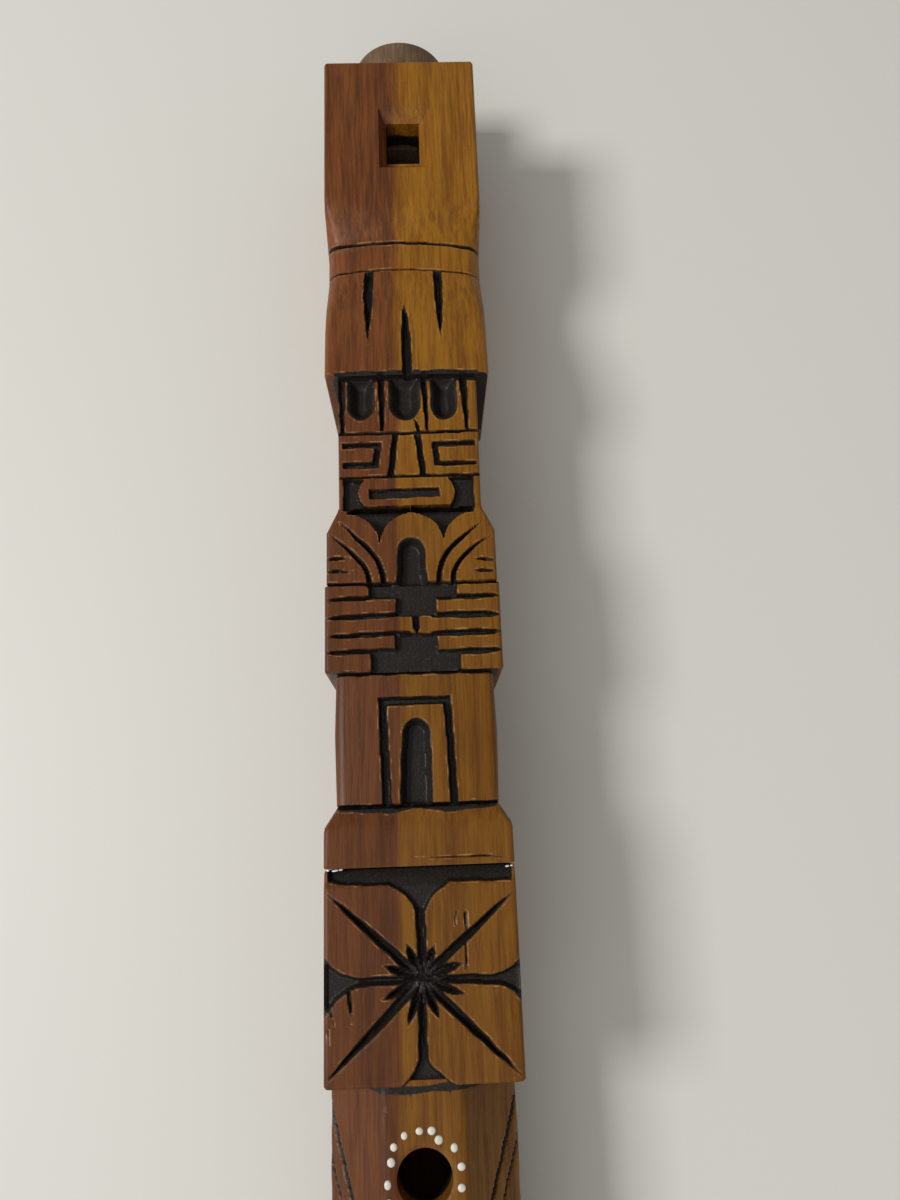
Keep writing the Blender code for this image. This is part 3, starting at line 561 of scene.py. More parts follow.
# Skirt: a square frame round a doorway, and the deep saw cut at its hem with stain rubbed beside it
skirt_cuts = [
    Cut([(-19.0, 166.9), (0.0, 166.9), (19.0, 167.0)], depth=1.0, wall=0.3, widths=(0.7, 0.8, 0.8)),
    Cut([(-8.2, 172.1), (7.9, 172.2), (8.2, 180.0), (8.8, 196.0), (6.9, 196.0), (6.6, 182.0), (6.1, 174.0),
         (-6.3, 174.2), (-5.9, 184.0), (-5.4, 196.0), (-7.5, 196.0), (-7.9, 184.0)],
        depth=1.7, wall=0.55),
    Cut(arc((0.1, 180.2), (3.1, 3.3), 0.0, 180.0)
        + [(-3.4, 184.0), (-3.9, 196.2), (3.4, 196.2), (3.3, 184.0)], depth=2.6, wall=1.5),
    Cut([(-18.5, 195.5), (0.0, 195.7), (18.5, 195.3)], depth=2.2, wall=0.4, widths=(1.0, 0.9, 0.8)),
    Cut([(-16.5, 195.9), (-6.0, 196.2), (0.5, 195.8), (6.0, 196.3), (16.5, 195.8)],
        depth=0.15, wall=0.8, widths=(1.0, 2.0, 0.6, 1.8, 1.2)),
]

# Base: a thin scribed line above the seam, and a nick at its right end
base_cuts = [
    Cut([(-2.0, 206.4), (3.0, 206.3), (7.0, 206.5), (12.0, 206.4), (17.3, 206.6)],
        depth=0.5, wall=0.2, widths=(0.05, 0.25, 0.3, 0.45, 0.35)),
    Cut([(-19.0, 206.6), (-12.0, 206.4), (-2.0, 206.4)],
        depth=0.2, wall=0.2, widths=(0.12, 0.12, 0.1), stained=False),
    Cut([(17.3, 206.5), (17.2, 208.2)], depth=0.4, wall=0.2, widths=(0.2, 0.25)),
]
head_cuts = (
    hat_cuts + brow_cuts + eye_cuts + mouth_cuts + chest_cuts + hands_cuts + skirt_cuts + base_cuts)


def ring_places(profile, fine, coarse, fine_from=0.0):
    """Where rings are laid down the block, close together from fine_from on."""
    places = []
    for start, end in zip(profile, profile[1:]):
        middle = (start[0] + end[0]) / 2.0
        step = fine if middle >= fine_from else coarse
        count = max(1, int(round((end[0] - start[0]) / step)))
        places.extend(start[0] + (end[0] - start[0]) * ring / count for ring in range(count))
    places.append(profile[-1][0])
    return np.array(places)


def ring_skin(name, x, y, z, material):
    """A closed mesh from rings of points given in millimetres."""
    ring_count, columns = x.shape
    points = np.stack((x, y, z), axis=-1).reshape(-1, 3) * MM
    index = np.arange(ring_count * columns).reshape(ring_count, columns)
    following = np.roll(index, -1, axis=1)
    quads = np.stack((index[:-1], following[:-1], following[1:], index[1:]), axis=-1).reshape(-1, 4)
    ends = [index[0, ::-1].tolist(), index[-1].tolist()]
    mesh = bpy.data.meshes.new(name)
    mesh.from_pydata(points.tolist(), [], quads.tolist() + ends)
    shape = bmesh.new()
    shape.from_mesh(mesh)
    bmesh.ops.triangulate(shape, faces=[face for face in shape.faces if len(face.verts) > 4])
    return set_piece(name, shape, material)


def set_piece(name, shape, material=None):
    """Makes an object of a bmesh, in its place, with its faces turned outwards."""
    bmesh.ops.recalc_face_normals(shape, faces=shape.faces)
    mesh = bpy.data.meshes.new(name)
    shape.to_mesh(mesh)
    shape.free()
    if material is not None:
        mesh.materials.append(material)
    piece = bpy.data.objects.new(name, mesh)
    bpy.context.scene.collection.objects.link(piece)
    return piece


FRONT_COLUMNS = 112
CORNER_COLUMNS = 4
SIDE_COLUMNS = 9
BACK_COLUMNS = 8
BACK_CORNER = 0.8


def carved_block(name, profile, cuts, rings, material):
    """A closed block laid ring by ring down its profile, with the cuts sunk in its front."""
    downs = [entry[0] for entry in profile]
    half, setback, crown, corner = (
        np.interp(rings, downs, values)[:, None] for values in list(zip(*profile))[1:])
    front_x = np.linspace(-1.0, 1.0, FRONT_COLUMNS)[None, :] * (half - corner)
    front_down = np.repeat(rings[:, None], FRONT_COLUMNS, axis=1)
    depth, _ = carve(front_x, front_down, cuts)
    all_x = [front_x]
    all_z = [STOCK_HEIGHT - setback - crown * (front_x / half) ** 2 - depth]
    shoulder = STOCK_HEIGHT - setback - crown * ((half - corner) / half) ** 2
    side_top = shoulder - corner
    for step in range(1, CORNER_COLUMNS + 1):
        turned = 1.0 - step / CORNER_COLUMNS
        angle = math.pi / 2.0 * turned
        all_x.append(half - corner + corner * math.cos(angle))
        all_z.append(side_top + corner * math.sin(angle) - depth[:, -1:] * turned)
    for step in range(1, SIDE_COLUMNS + 1):
        all_x.append(half)
        all_z.append(side_top + (BACK_CORNER - side_top) * step / SIDE_COLUMNS)
    back_x = np.linspace(1.0, -1.0, BACK_COLUMNS)[None, :] * (half - BACK_CORNER)
    all_x.append(back_x)
    all_z.append(np.zeros(back_x.shape))
    for step in range(SIDE_COLUMNS, -1, -1):
        all_x.append(-half)
        all_z.append(side_top + (BACK_CORNER - side_top) * step / SIDE_COLUMNS)
    for step in range(1, CORNER_COLUMNS):
        turned = step / CORNER_COLUMNS
        angle = math.pi / 2.0 * turned
        all_x.append(corner - half - corner * math.cos(angle))
        all_z.append(side_top + corner * math.sin(angle) - depth[:, :1] * turned)
    x = np.concatenate(all_x, axis=1)
    y = np.repeat((HEAD_TOP_Y - rings)[:, None], x.shape[1], axis=1)
    return ring_skin(name, x, y, np.concatenate(all_z, axis=1), material)


def round_bit(name, top_radius, bottom_radius, length, place, sides):
    """A drill bit's shape, standing along its own height before place turns and moves it."""
    shape = bmesh.new()
    bmesh.ops.create_cone(shape, cap_ends=True, segments=sides, radius1=bottom_radius * MM,
                          radius2=top_radius * MM, depth=length * MM)
    bmesh.ops.transform(shape, matrix=place, verts=shape.verts)
    return set_piece(name, shape)


BORE_RADIUS = 10.0
BORE_SIDES = 64
BIT_OVERRUN = 5.0


def bore_bit(name, top, bottom):
    place = Matrix.Translation((0.0, (HEAD_TOP_Y - (top + bottom) / 2.0) * MM, STOCK_HEIGHT / 2.0 * MM))
    return round_bit(name, BORE_RADIUS, BORE_RADIUS, bottom - top,
                     place @ Matrix.Rotation(math.radians(90.0), 4, "X"), BORE_SIDES)


def window_chisel(name, high, high_z, low, low_z):
    """A four-sided shaft. high and low are its (left, right, top, bottom) at its two ends."""
    shape = bmesh.new()
    for (left, right, top, bottom), z in ((high, high_z), (low, low_z)):
        for x, down in ((left, top), (right, top), (right, bottom), (left, bottom)):
            shape.verts.new((x * MM, (HEAD_TOP_Y - down) * MM, z * MM))
    bmesh.ops.convex_hull(shape, input=shape.verts)
    return set_piece(name, shape)


def cut_away(piece, bits):
    """Cuts the bits out of a piece for good and removes them."""
    for bit in bits:
        modifier = piece.modifiers.new("cut", "BOOLEAN")
        modifier.operation = "DIFFERENCE"
        modifier.solver = "EXACT"
        modifier.object = bit
    graph = bpy.context.evaluated_depsgraph_get()
    mesh = bpy.data.meshes.new_from_object(piece.evaluated_get(graph))
    piece.modifiers.clear()
    piece.data = mesh
    for bit in bits:
        bpy.data.objects.remove(bit)


def point_places(piece):
    """Each point's place across, down and up, in millimetres."""
    places = np.empty(len(piece.data.vertices) * 3)
    piece.data.vertices.foreach_get("co", places)
    places = places.reshape(-1, 3) / MM
    return places[:, 0], HEAD_TOP_Y - places[:, 1], places[:, 2]


STAIN_SPAN = 2.4
# Place and width of the pale lips, which are wear and painted highlight.
HIGHLIGHT_LIP_FROM_EDGE = 0.22
HIGHLIGHT_LIP_WIDTH = 0.16
CREASE = math.radians(42.0)


def brush_on_stain_and_shade(piece, inside, lip_highlight_share=1.0):
    """Stores on each point how deep in the black it lies, stain in cuts and painted shade in hollows, and
    how pale its lip is, from wear and painted highlight.
    """
    stain_and_shade = np.clip(inside / STAIN_SPAN + 0.5, 0.0, 1.0)
    lip_wear_and_highlight = lip_highlight_share * np.exp(-((inside + HIGHLIGHT_LIP_FROM_EDGE) / HIGHLIGHT_LIP_WIDTH) ** 2)
    for name, values in (("stain_and_shade", stain_and_shade), ("lip_wear_and_highlight", lip_wear_and_highlight)):
        layer = piece.data.attributes.new(name, "FLOAT", "POINT")
        layer.data.foreach_set("value", values.astype(np.float32))
    piece.data.shade_smooth()
    piece.data.set_sharp_from_angle(angle=CREASE)


CARVED_LAYER = 8.0


def stain_in_cuts(piece, cuts):
    """How far inside a stained cut each point of a block's carved front is."""
    x, down, z = point_places(piece)
    _, inside = carve(x, down, cuts)
    return np.where(z > STOCK_HEIGHT - CARVED_LAYER, inside, -STAIN_REACH)


head_rings = ring_places(HEAD_PROFILE, fine=0.33, coarse=1.2, fine_from=53.0)
head_carving = carved_block("head_carving", HEAD_PROFILE, head_cuts, head_rings, head_wood)

# Window: chiselled through the front wall into the bore, with a bevelled rim and a sloping lower lip. Below
# its bevel the walls are black: painted shade, with some black stain.
BORE_TOP = STOCK_HEIGHT / 2.0 + BORE_RADIUS
window_shaft = window_chisel(
    "window_shaft", (-3.9, 4.9, 18.0, 31.5), STOCK_HEIGHT + 2.0, (-3.9, 4.9, 18.0, 28.6), BORE_TOP - 1.0)
window_bevel = window_chisel(
    "window_bevel", (-5.9, 8.4, 14.8, 34.4), STOCK_HEIGHT + 0.3, (-3.9, 4.9, 18.6, 31.0),
    STOCK_HEIGHT - 3.2)
head_bore = bore_bit("head_bore", -BIT_OVERRUN, HEAD_END + BIT_OVERRUN)
cut_away(head_carving, [head_bore, window_bevel, window_shaft])

WINDOW_MIDDLE = 0.5
WINDOW_HALF_WIDTH = 5.2
WINDOW_TOP = 14.0
WINDOW_END = 34.0
WINDOW_SHADE_DEPTH = 4.2
SAME_LEVEL = 0.02


def stain_and_shade_on_ledge(level, lowest, strength):
    """Black on the end face of a block of the head that stands over the next one, as stain and as painted
    shade under a ledge.
    """
    return np.where((np.abs(head_down - level) < SAME_LEVEL) & (head_z > lowest), strength, -STAIN_REACH)


head_x, head_down, head_z = point_places(head_carving)
in_window = (
    (np.abs(head_x - WINDOW_MIDDLE) < WINDOW_HALF_WIDTH)
    & (head_down > WINDOW_TOP) & (head_down < WINDOW_END) & (head_z > BORE_RADIUS)
)
window_shade_and_stain = np.clip(STOCK_HEIGHT - WINDOW_SHADE_DEPTH - head_z, -STAIN_REACH, STAIN_REACH)
right_of_face = np.where(head_x > 16.0, 0.4, -STAIN_REACH)
# Painted shade: black down the window's walls and on the step under the hat's ledge; right of the face the
# hat's ledge has black stain.
head_stain_and_shade = np.maximum.reduce([
    stain_in_cuts(head_carving, head_cuts),
    np.where(in_window, window_shade_and_stain, -STAIN_REACH),
    stain_and_shade_on_ledge(FACE_TOP + LEDGE, lowest=8.0, strength=1.0),
    stain_and_shade_on_ledge(FACE_TOP, lowest=6.0, strength=right_of_face),
    stain_and_shade_on_ledge(HANDS_END + LEDGE, lowest=8.0, strength=0.8),
])
brush_on_stain_and_shade(head_carving, head_stain_and_shade)
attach(head_carving, "root")
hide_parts("head_piece")


# Mouth stub and plug: the end that the lips close on is turned round from the head's own wood and left
# raw. The plug pressed into it is raw wood too, grey-brown and matt from use.
RAW_WARM = screen_colour(128, 101, 77)
RAW_GREY = screen_colour(98, 78, 60)
RAW_GRAIN = (1.0, 0.06, 1.0)
RAW_BLOTCH = (0.25, 0.2, 0.25)


def raw_wood(name):
    wood = Finish(name)
    streak = wood.noise(RAW_GRAIN, scale=1.8, detail=5.0, roughness=0.65)
    blotch = wood.noise(RAW_BLOTCH, scale=1.0, detail=3.0)
    shade = wood.step(streak * 0.7 + blotch * 0.3, low=0.36, high=0.62)
    return wood.close(
        Base_Color=wood.mix(shade, RAW_WARM, RAW_GREY),
        Roughness=streak * 0.15 + 0.62,
        Normal=wood.bump(streak * -1.0, distance=0.12),
        Specular_IOR_Level=0.2,
    )


STUB_RADIUS = 13.2
STUB_SIDES = 72
STUB_CREASE = math.radians(50.0)
# radius, down, round the wall
STUB_WALL = [
    (BORE_RADIUS, 0.4), (BORE_RADIUS, 0.5 - STUB_LENGTH), (BORE_RADIUS + 0.3, 0.1 - STUB_LENGTH),
    (STUB_RADIUS - 0.7, -STUB_LENGTH), (STUB_RADIUS - 0.25, 0.2 - STUB_LENGTH),
    (STUB_RADIUS, 0.7 - STUB_LENGTH), (STUB_RADIUS + 0.05, -8.0), (STUB_RADIUS, 0.4),
]
stub_shape = bmesh.new()
stub_rings = []
for angle in np.linspace(0.0, 2.0 * math.pi, STUB_SIDES, endpoint=False):
    stub_rings.append([stub_shape.verts.new((
        radius * math.cos(angle) * MM, (HEAD_TOP_Y - down) * MM,
        (STOCK_HEIGHT / 2.0 + radius * math.sin(angle)) * MM)) for radius, down in STUB_WALL])
for ring, following in zip(stub_rings, stub_rings[1:] + stub_rings[:1]):
    for corner in range(len(STUB_WALL)):
        after = (corner + 1) % len(STUB_WALL)
        stub_shape.faces.new((ring[corner], ring[after], following[after], following[corner]))
mouth_stub = set_piece("mouth_stub", stub_shape, raw_wood("dry_stub_wood"))
mouth_stub.data.shade_smooth()
mouth_stub.data.set_sharp_from_angle(angle=STUB_CREASE)
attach(mouth_stub, "root")

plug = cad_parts["fipple_plug"]
plug.data.materials.clear()
plug.data.materials.append(raw_wood("dry_plug_wood"))


# Flower block: the square upper end of the body, of the same wood as the head and glued to it. A flower
# with four petals is carved on its front; the cuts and the chamfer next to the seam are stained black.
body_wood = varnished_wood("body_varnished_wood")
BLOCK_TOP = HEAD_END + 0.3
BLOCK_END = 249.6
FLOWER_PROFILE = [
    (BLOCK_TOP, 19.8, 1.5, 0.0, 0.6),
    (BLOCK_TOP + 0.4, 20.0, 1.3, 0.0, 0.7),
    (212.0, 20.0, 0.0, 0.1, 0.9),
    (BLOCK_END - 0.5, 20.0, 0.0, 0.1, 1.0),
    (BLOCK_END, 19.7, 0.35, 0.1, 1.0),
]
FLOWER_MIDDLE = (0.0, 229.9)
PETAL_GROUND = {"depth": 1.7, "wall": 0.8}
flower_cuts = [
    Cut([(-19.3, 206.0), (19.3, 206.0), (19.2, 211.6), (6.0, 211.4), (5.2, 212.3), (3.9, 213.0),
         (2.6, 214.0), (1.6, 215.6), (1.0, 217.2), (-1.3, 217.0), (-1.7, 215.6), (-3.0, 213.9),
         (-4.6, 212.7), (-6.4, 211.7), (-11.0, 211.6), (-15.5, 211.4), (-19.3, 210.6)],
        depth=1.3, wall=0.6),
    Cut([(-1.3, 215.5), (0.95, 215.5), (1.1, 221.0), (1.2, 229.0), (-0.7, 229.0), (-1.1, 222.0)],
        **PETAL_GROUND),
    Cut([(-0.9, 230.0), (0.9, 230.0), (0.8, 238.0), (0.8, 244.6), (1.7, 246.0), (3.2, 247.4),
         (5.0, 248.8), (7.0, 249.9), (7.0, 251.0), (-5.0, 251.0), (-5.0, 250.1), (-3.4, 248.4),
         (-2.1, 246.8), (-1.25, 244.6), (-1.1, 238.0)], **PETAL_GROUND),
    Cut([(-21.0, 224.2), (-19.7, 225.2), (-18.3, 227.0), (-16.0, 228.4), (-13.3, 229.2), (-7.0, 229.1),
         (-1.0, 229.3), (-1.0, 230.6), (-7.0, 231.0), (-13.0, 231.1), (-15.0, 232.0), (-17.2, 233.4),
         (-19.2, 235.7), (-21.0, 238.0)], **PETAL_GROUND),
    Cut([(21.0, 225.4), (19.9, 226.6), (18.6, 227.9), (16.6, 229.0), (14.1, 229.5), (8.0, 229.2),
         (1.0, 229.4), (1.0, 230.7), (8.0, 231.2), (14.3, 231.6), (16.6, 232.0), (18.4, 233.0),
         (20.0, 234.9), (21.0, 236.4)], **PETAL_GROUND),
]
RAY_TIPS = ((-19.3, 212.9), (19.4, 213.6), (-19.8, 248.5), (19.3, 248.5))
for tip in RAY_TIPS:
    flower_cuts.append(Cut(
        between(FLOWER_MIDDLE, tip, (0.06, 0.2, 0.5, 0.8, 1.0)), widths=(2.0, 2.1, 1.9, 1.2, 0.15),
        **PETAL_GROUND))
STAR_TIPS = (
    (-3.2, 222.9), (2.7, 223.4), (8.5, 227.0), (8.7, 233.2), (3.2, 237.6), (-3.1, 238.6), (-8.1, 233.6),
    (-7.8, 227.2),
)
for tip in STAR_TIPS:
    flower_cuts.append(Cut(
        between(FLOWER_MIDDLE, tip, (0.05, 0.4, 0.75, 1.0)), depth=1.9, wall=0.9,
        widths=(1.6, 2.2, 1.6, 0.1)))
# Old scars in the petals
flower_cuts += [
    Cut([(7.2, 217.4), (7.1, 220.0)], depth=0.5, wall=0.2, widths=(0.5, 0.15)),
    Cut([(9.3, 217.6), (9.2, 222.0), (8.9, 228.4)], depth=0.5, wall=0.2, widths=(0.7, 0.4, 0.5)),
    Cut([(-14.9, 231.6), (-14.6, 234.0), (-14.4, 237.6)], depth=0.7, wall=0.3, widths=(0.9, 0.9, 0.1)),
    Cut([(-18.6, 234.5), (-18.0, 238.0)], depth=0.4, wall=0.2, widths=(0.6, 0.2)),
    Cut([(-19.2, 239.0), (-18.9, 241.5)], depth=0.4, wall=0.2, widths=(0.5, 0.1)),
]
flower_block = carved_block(
    "flower_block", FLOWER_PROFILE, flower_cuts, ring_places(FLOWER_PROFILE, fine=0.33, coarse=0.33),
    body_wood)
cut_away(flower_block, [bore_bit("block_bore", BLOCK_TOP - BIT_OVERRUN, BLOCK_END + BIT_OVERRUN)])
brush_on_stain_and_shade(flower_block, stain_in_cuts(flower_block, flower_cuts))
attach(flower_block, "root")
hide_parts("body_tube")


# Tube: the long part of the body, planed to eight sides with soft corners. Six finger holes are drilled
# in its front, and pairs of black knife strokes slant down its two upper faces like chevrons.
TUBE_FLATS = 38.4
TUBE_SHIFT = -0.5
TUBE_SIDES = 8
TUBE_TOP = BLOCK_END - 1.0
TUBE_RINGS = 440
FOOT_LENGTH = 30.0
FOOT_TOP = FOOT_END - FOOT_LENGTH
CORNER_SHARPNESS = 90.0
FIRST_HOLE = 266.0
HOLE_PITCH = 33.0
HOLE_COUNT = 6
HOLE_RADIUS = 5.5
hole_downs = [FIRST_HOLE + HOLE_PITCH * index for index in range(HOLE_COUNT)]

left_strokes = []
right_strokes = []
for index in range(HOLE_COUNT):
    for offset, thick in ((0.0, 1.15), (9.0, 0.8)):
        stroke = {"depth": 1.0, "wall": 0.45, "widths": (thick, thick, thick * 0.6)}
        start = 255.6 + offset + index * HOLE_PITCH
        left_strokes.append(Cut([(-8.6, start - 1.5), (0.0, start + 19.0), (7.0, start + 35.0)], **stroke))
        start = 255.0 + offset * 0.85 + index * HOLE_PITCH
        right_strokes.append(Cut([(-8.6, start - 1.5), (0.0, start + 15.5), (7.0, start + 28.5)], **stroke))


def torn_fibre(x, length, width):
    """A split along the grain, running from the end of the flower block."""
    return Cut([(x, 250.0), (x + 0.1, 250.0 + length)], depth=0.2, wall=0.15, widths=(width, 0.05))


# Stain that ran over from the flower block, and fibres torn there
spill_cuts = [
    Cut([(-15.5, 249.6), (-4.0, 250.4), (2.0, 250.2), (9.0, 249.4), (14.0, 249.6)],
        depth=0.1, wall=0.6, widths=(1.0, 1.6, 1.2, 2.6, 1.6)),
    Cut([(-13.4, 250.0), (-13.1, 257.4)], depth=0.3, wall=0.15, widths=(0.3, 0.05)),
    torn_fibre(-7.6, 4.0, 0.25),
    torn_fibre(-3.2, 4.6, 0.3),
    torn_fibre(-2.4, 3.6, 0.25),
    torn_fibre(5.4, 2.6, 0.3),
    torn_fibre(10.2, 3.4, 0.3),
]


def tube_radius(angle):
    """Distance from the bore's middle to the skin, for an angle from the front."""
    total = np.zeros(angle.shape)
    for index in range(TUBE_SIDES):
        facing = np.cos(angle - index * 2.0 * math.pi / TUBE_SIDES)
        total += np.maximum(facing, 0.0) ** CORNER_SHARPNESS
    return TUBE_FLATS / 2.0 * total ** (-1.0 / CORNER_SHARPNESS)


STROKE_FACES = ((-45.0, 1.0, left_strokes), (45.0, -1.0, right_strokes))
STROKE_SPREAD = 34.0
SPILL_SPREAD = 75.0


def tube_carving(angle, down):
    """Depth of the cuts in the tube, and how far inside the stain each point is."""
    radius = tube_radius(angle)
    turned = np.degrees(angle)
    depth = np.zeros(angle.shape)
    inside = np.full(angle.shape, -STAIN_REACH)
    jobs = [(np.abs(turned) < SPILL_SPREAD, radius * np.sin(angle), spill_cuts)]
    for facing, side, strokes in STROKE_FACES:
        across = radius * np.sin(angle - math.radians(facing)) * side
        jobs.append((np.abs(turned - facing) < STROKE_SPREAD, across, strokes))
    for here, across, cuts in jobs:
        sunk, stained = carve(across[here], down[here], cuts)
        depth[here] = np.maximum(depth[here], sunk)
        inside[here] = np.maximum(inside[here], stained)
    return depth, inside


FRONT_SPREAD = 118.0
FRONT_POINTS = 156
BACK_POINTS = 26
front_angles = np.linspace(-FRONT_SPREAD, FRONT_SPREAD, FRONT_POINTS)
back_angles = np.linspace(FRONT_SPREAD, 360.0 - FRONT_SPREAD, BACK_POINTS)[1:-1]
ring_angles = np.radians(np.concatenate((front_angles, back_angles)))
ring_downs = np.linspace(TUBE_TOP, FOOT_TOP + 1.0, TUBE_RINGS)
skin_angle = np.repeat(ring_angles[None, :], len(ring_downs), axis=0)
skin_down = np.repeat(ring_downs[:, None], len(ring_angles), axis=1)
skin_radius = tube_radius(skin_angle)
cut_depth, _ = tube_carving(skin_angle, skin_down)
RIM_DEPTH = 0.35
rim_depth = np.zeros(skin_angle.shape)
for down in hole_downs:
    reach = np.hypot(skin_radius * np.sin(skin_angle), skin_down - down)
    rim = RIM_DEPTH * (1.0 - smooth(reach, HOLE_RADIUS - 0.2, HOLE_RADIUS + 0.7))
    rim_depth = np.maximum(rim_depth, np.where(np.abs(skin_angle) < 1.0, rim, 0.0))
plane_marks = (
    0.05 * np.sin(skin_down * 0.35 + skin_angle * 3.0) + 0.04 * np.sin(skin_down * 0.9 - skin_angle * 5.0))
skin_radius = skin_radius - cut_depth - rim_depth + plane_marks
octagon_tube = ring_skin(
    "octagon_tube", TUBE_SHIFT + skin_radius * np.sin(skin_angle), HEAD_TOP_Y - skin_down,
    STOCK_HEIGHT / 2.0 + skin_radius * np.cos(skin_angle), body_wood)

HOLE_BIT_LENGTH = 24.0
HOLE_BIT_SIDES = 56
HOLE_TAPER = 0.97
bits = [bore_bit("tube_bore", TUBE_TOP - BIT_OVERRUN, FOOT_TOP + BIT_OVERRUN + 1.0)]
for index, down in enumerate(hole_downs):
    bit_place = Matrix.Translation((
        TUBE_SHIFT * MM, (HEAD_TOP_Y - down) * MM, (STOCK_HEIGHT + HOLE_BIT_LENGTH) / 2.0 * MM))
    bits.append(round_bit("finger_hole_%d" % (index + 1), HOLE_RADIUS, HOLE_RADIUS * HOLE_TAPER,
                          HOLE_BIT_LENGTH, bit_place, HOLE_BIT_SIDES))
cut_away(octagon_tube, bits)

SKIN_LAYER = 1.8
# Painted shade inside the finger holes: how far it spreads and how black it is.
HOLE_WALL_SHADE_SPREAD = 0.4
HOLE_WALL_SHADE = 0.9
tube_x, tube_down, tube_z = point_places(octagon_tube)
from_middle = tube_x - TUBE_SHIFT
from_bore = tube_z - STOCK_HEIGHT / 2.0
on_skin = np.hypot(from_middle, from_bore) > TUBE_FLATS / 2.0 - SKIN_LAYER
_, tube_stain_and_shade = tube_carving(np.arctan2(from_middle, from_bore), tube_down)
tube_stain_and_shade = np.where(on_skin, tube_stain_and_shade, -STAIN_REACH)
# Painted shade: the walls inside the finger holes are darkened black.
for down in hole_downs:
    near_hole = np.hypot(from_middle, tube_down - down) < HOLE_RADIUS + HOLE_WALL_SHADE_SPREAD
    tube_stain_and_shade = np.maximum(tube_stain_and_shade, np.where(near_hole & ~on_skin, HOLE_WALL_SHADE, -STAIN_REACH))
brush_on_stain_and_shade(octagon_tube, tube_stain_and_shade, lip_highlight_share=0.6)
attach(octagon_tube, "root")


# Foot: the lower end of the body, left square at the full size of the stock and sloped up from the tube,
# with one black saw line across its front.
FOOT_PROFILE = [
    (FOOT_TOP, 18.4, 1.6, 0.2, 1.2),
    (FOOT_TOP + 3.0, 19.9, 0.1, 0.1, 1.0),
    (FOOT_TOP + 3.6, 20.0, 0.0, 0.1, 0.9),
    (FOOT_END - 0.6, 20.0, 0.0, 0.1, 0.9),
    (FOOT_END, 19.6, 0.4, 0.1, 0.8),
]
foot_cuts = [
    Cut([(-20.5, FOOT_END - 9.0), (0.0, FOOT_END - 9.1), (20.5, FOOT_END - 8.9)],
        depth=1.4, wall=0.45, widths=(0.9, 0.8, 0.9)),
]
foot_block = carved_block(
    "foot_block", FOOT_PROFILE, foot_cuts, ring_places(FOOT_PROFILE, fine=0.5, coarse=0.5), body_wood)
cut_away(foot_block, [bore_bit("foot_bore", FOOT_TOP - BIT_OVERRUN, FOOT_END + BIT_OVERRUN)])
brush_on_stain_and_shade(foot_block, stain_in_cuts(foot_block, foot_cuts))
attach(foot_block, "root")


# White dots: drops of thick enamel paint set by hand in a ring round each finger hole, sixteen to a
# ring, a little uneven in size and spacing. They dry as low round domes.
white = Finish("white_enamel")
speck = white.noise(EVEN, scale=1.3, detail=3.0)
white_enamel = white.close(
    Base_Color=white.mix(speck, screen_colour(236, 234, 224), screen_colour(206, 202, 188)),
    Roughness=speck * 0.2 + 0.30,
    Normal=white.bump(speck, distance=0.15),
)

# angle in degrees from across, distance from the hole's middle in hole radii
FIRST_RING = (
    (95.9, 1.54), (79.7, 1.55), (67.0, 1.33), (42.0, 1.43), (15.4, 1.34), (-13.3, 1.31), (116.4, 1.57),
    (135.4, 1.51), (153.6, 1.31), (184.9, 1.31), (207.7, 1.43), (-38.0, 1.40), (-62.0, 1.45),
    (-86.0, 1.44), (-108.0, 1.47), (-131.0, 1.42),
)
DOTS_IN_RING = 16
DOT_RADIUS = 0.76
DOT_SINK = 0.03


def paint_drops():
    """Sets a flattened drop on each point, a little larger or smaller at random."""
    tree = bpy.data.node_groups.new("paint_drops", "GeometryNodeTree")
    tree.interface.new_socket("Geometry", in_out="INPUT", socket_type="NodeSocketGeometry")
    tree.interface.new_socket("Drop Radius", in_out="INPUT", socket_type="NodeSocketFloat")
    tree.interface.new_socket("Seed", in_out="INPUT", socket_type="NodeSocketInt")
    tree.interface.new_socket("Geometry", in_out="OUTPUT", socket_type="NodeSocketGeometry")
    entry = tree.nodes.new("NodeGroupInput")
    ball = tree.nodes.new("GeometryNodeMeshUVSphere")
    ball.inputs["Segments"].default_value = 14
    ball.inputs["Rings"].default_value = 8
    spread = tree.nodes.new("FunctionNodeRandomValue")
    spread.data_type = "FLOAT_VECTOR"
    spread.inputs["Min"].default_value = (0.85, 0.85, 0.42)
    spread.inputs["Max"].default_value = (1.15, 1.20, 0.52)
    scatter = tree.nodes.new("GeometryNodeInstanceOnPoints")
    realize = tree.nodes.new("GeometryNodeRealizeInstances")
    rounded = tree.nodes.new("GeometryNodeSetShadeSmooth")
    painted = tree.nodes.new("GeometryNodeSetMaterial")
    painted.inputs["Material"].default_value = white_enamel
    leave = tree.nodes.new("NodeGroupOutput")
    for start, out, end, into in (
        (entry, "Drop Radius", ball, "Radius"),
        (entry, "Seed", spread, "Seed"),
        (entry, "Geometry", scatter, "Points"),
        (ball, "Mesh", scatter, "Instance"),
        (spread, "Value", scatter, "Scale"),
        (scatter, "Instances", realize, "Geometry"),
        (realize, "Geometry", rounded, "Geometry"),
        (rounded, "Geometry", painted, "Geometry"),
        (painted, "Geometry", leave, "Geometry"),
    ):
        tree.links.new(start.outputs[out], end.inputs[into])
    return tree


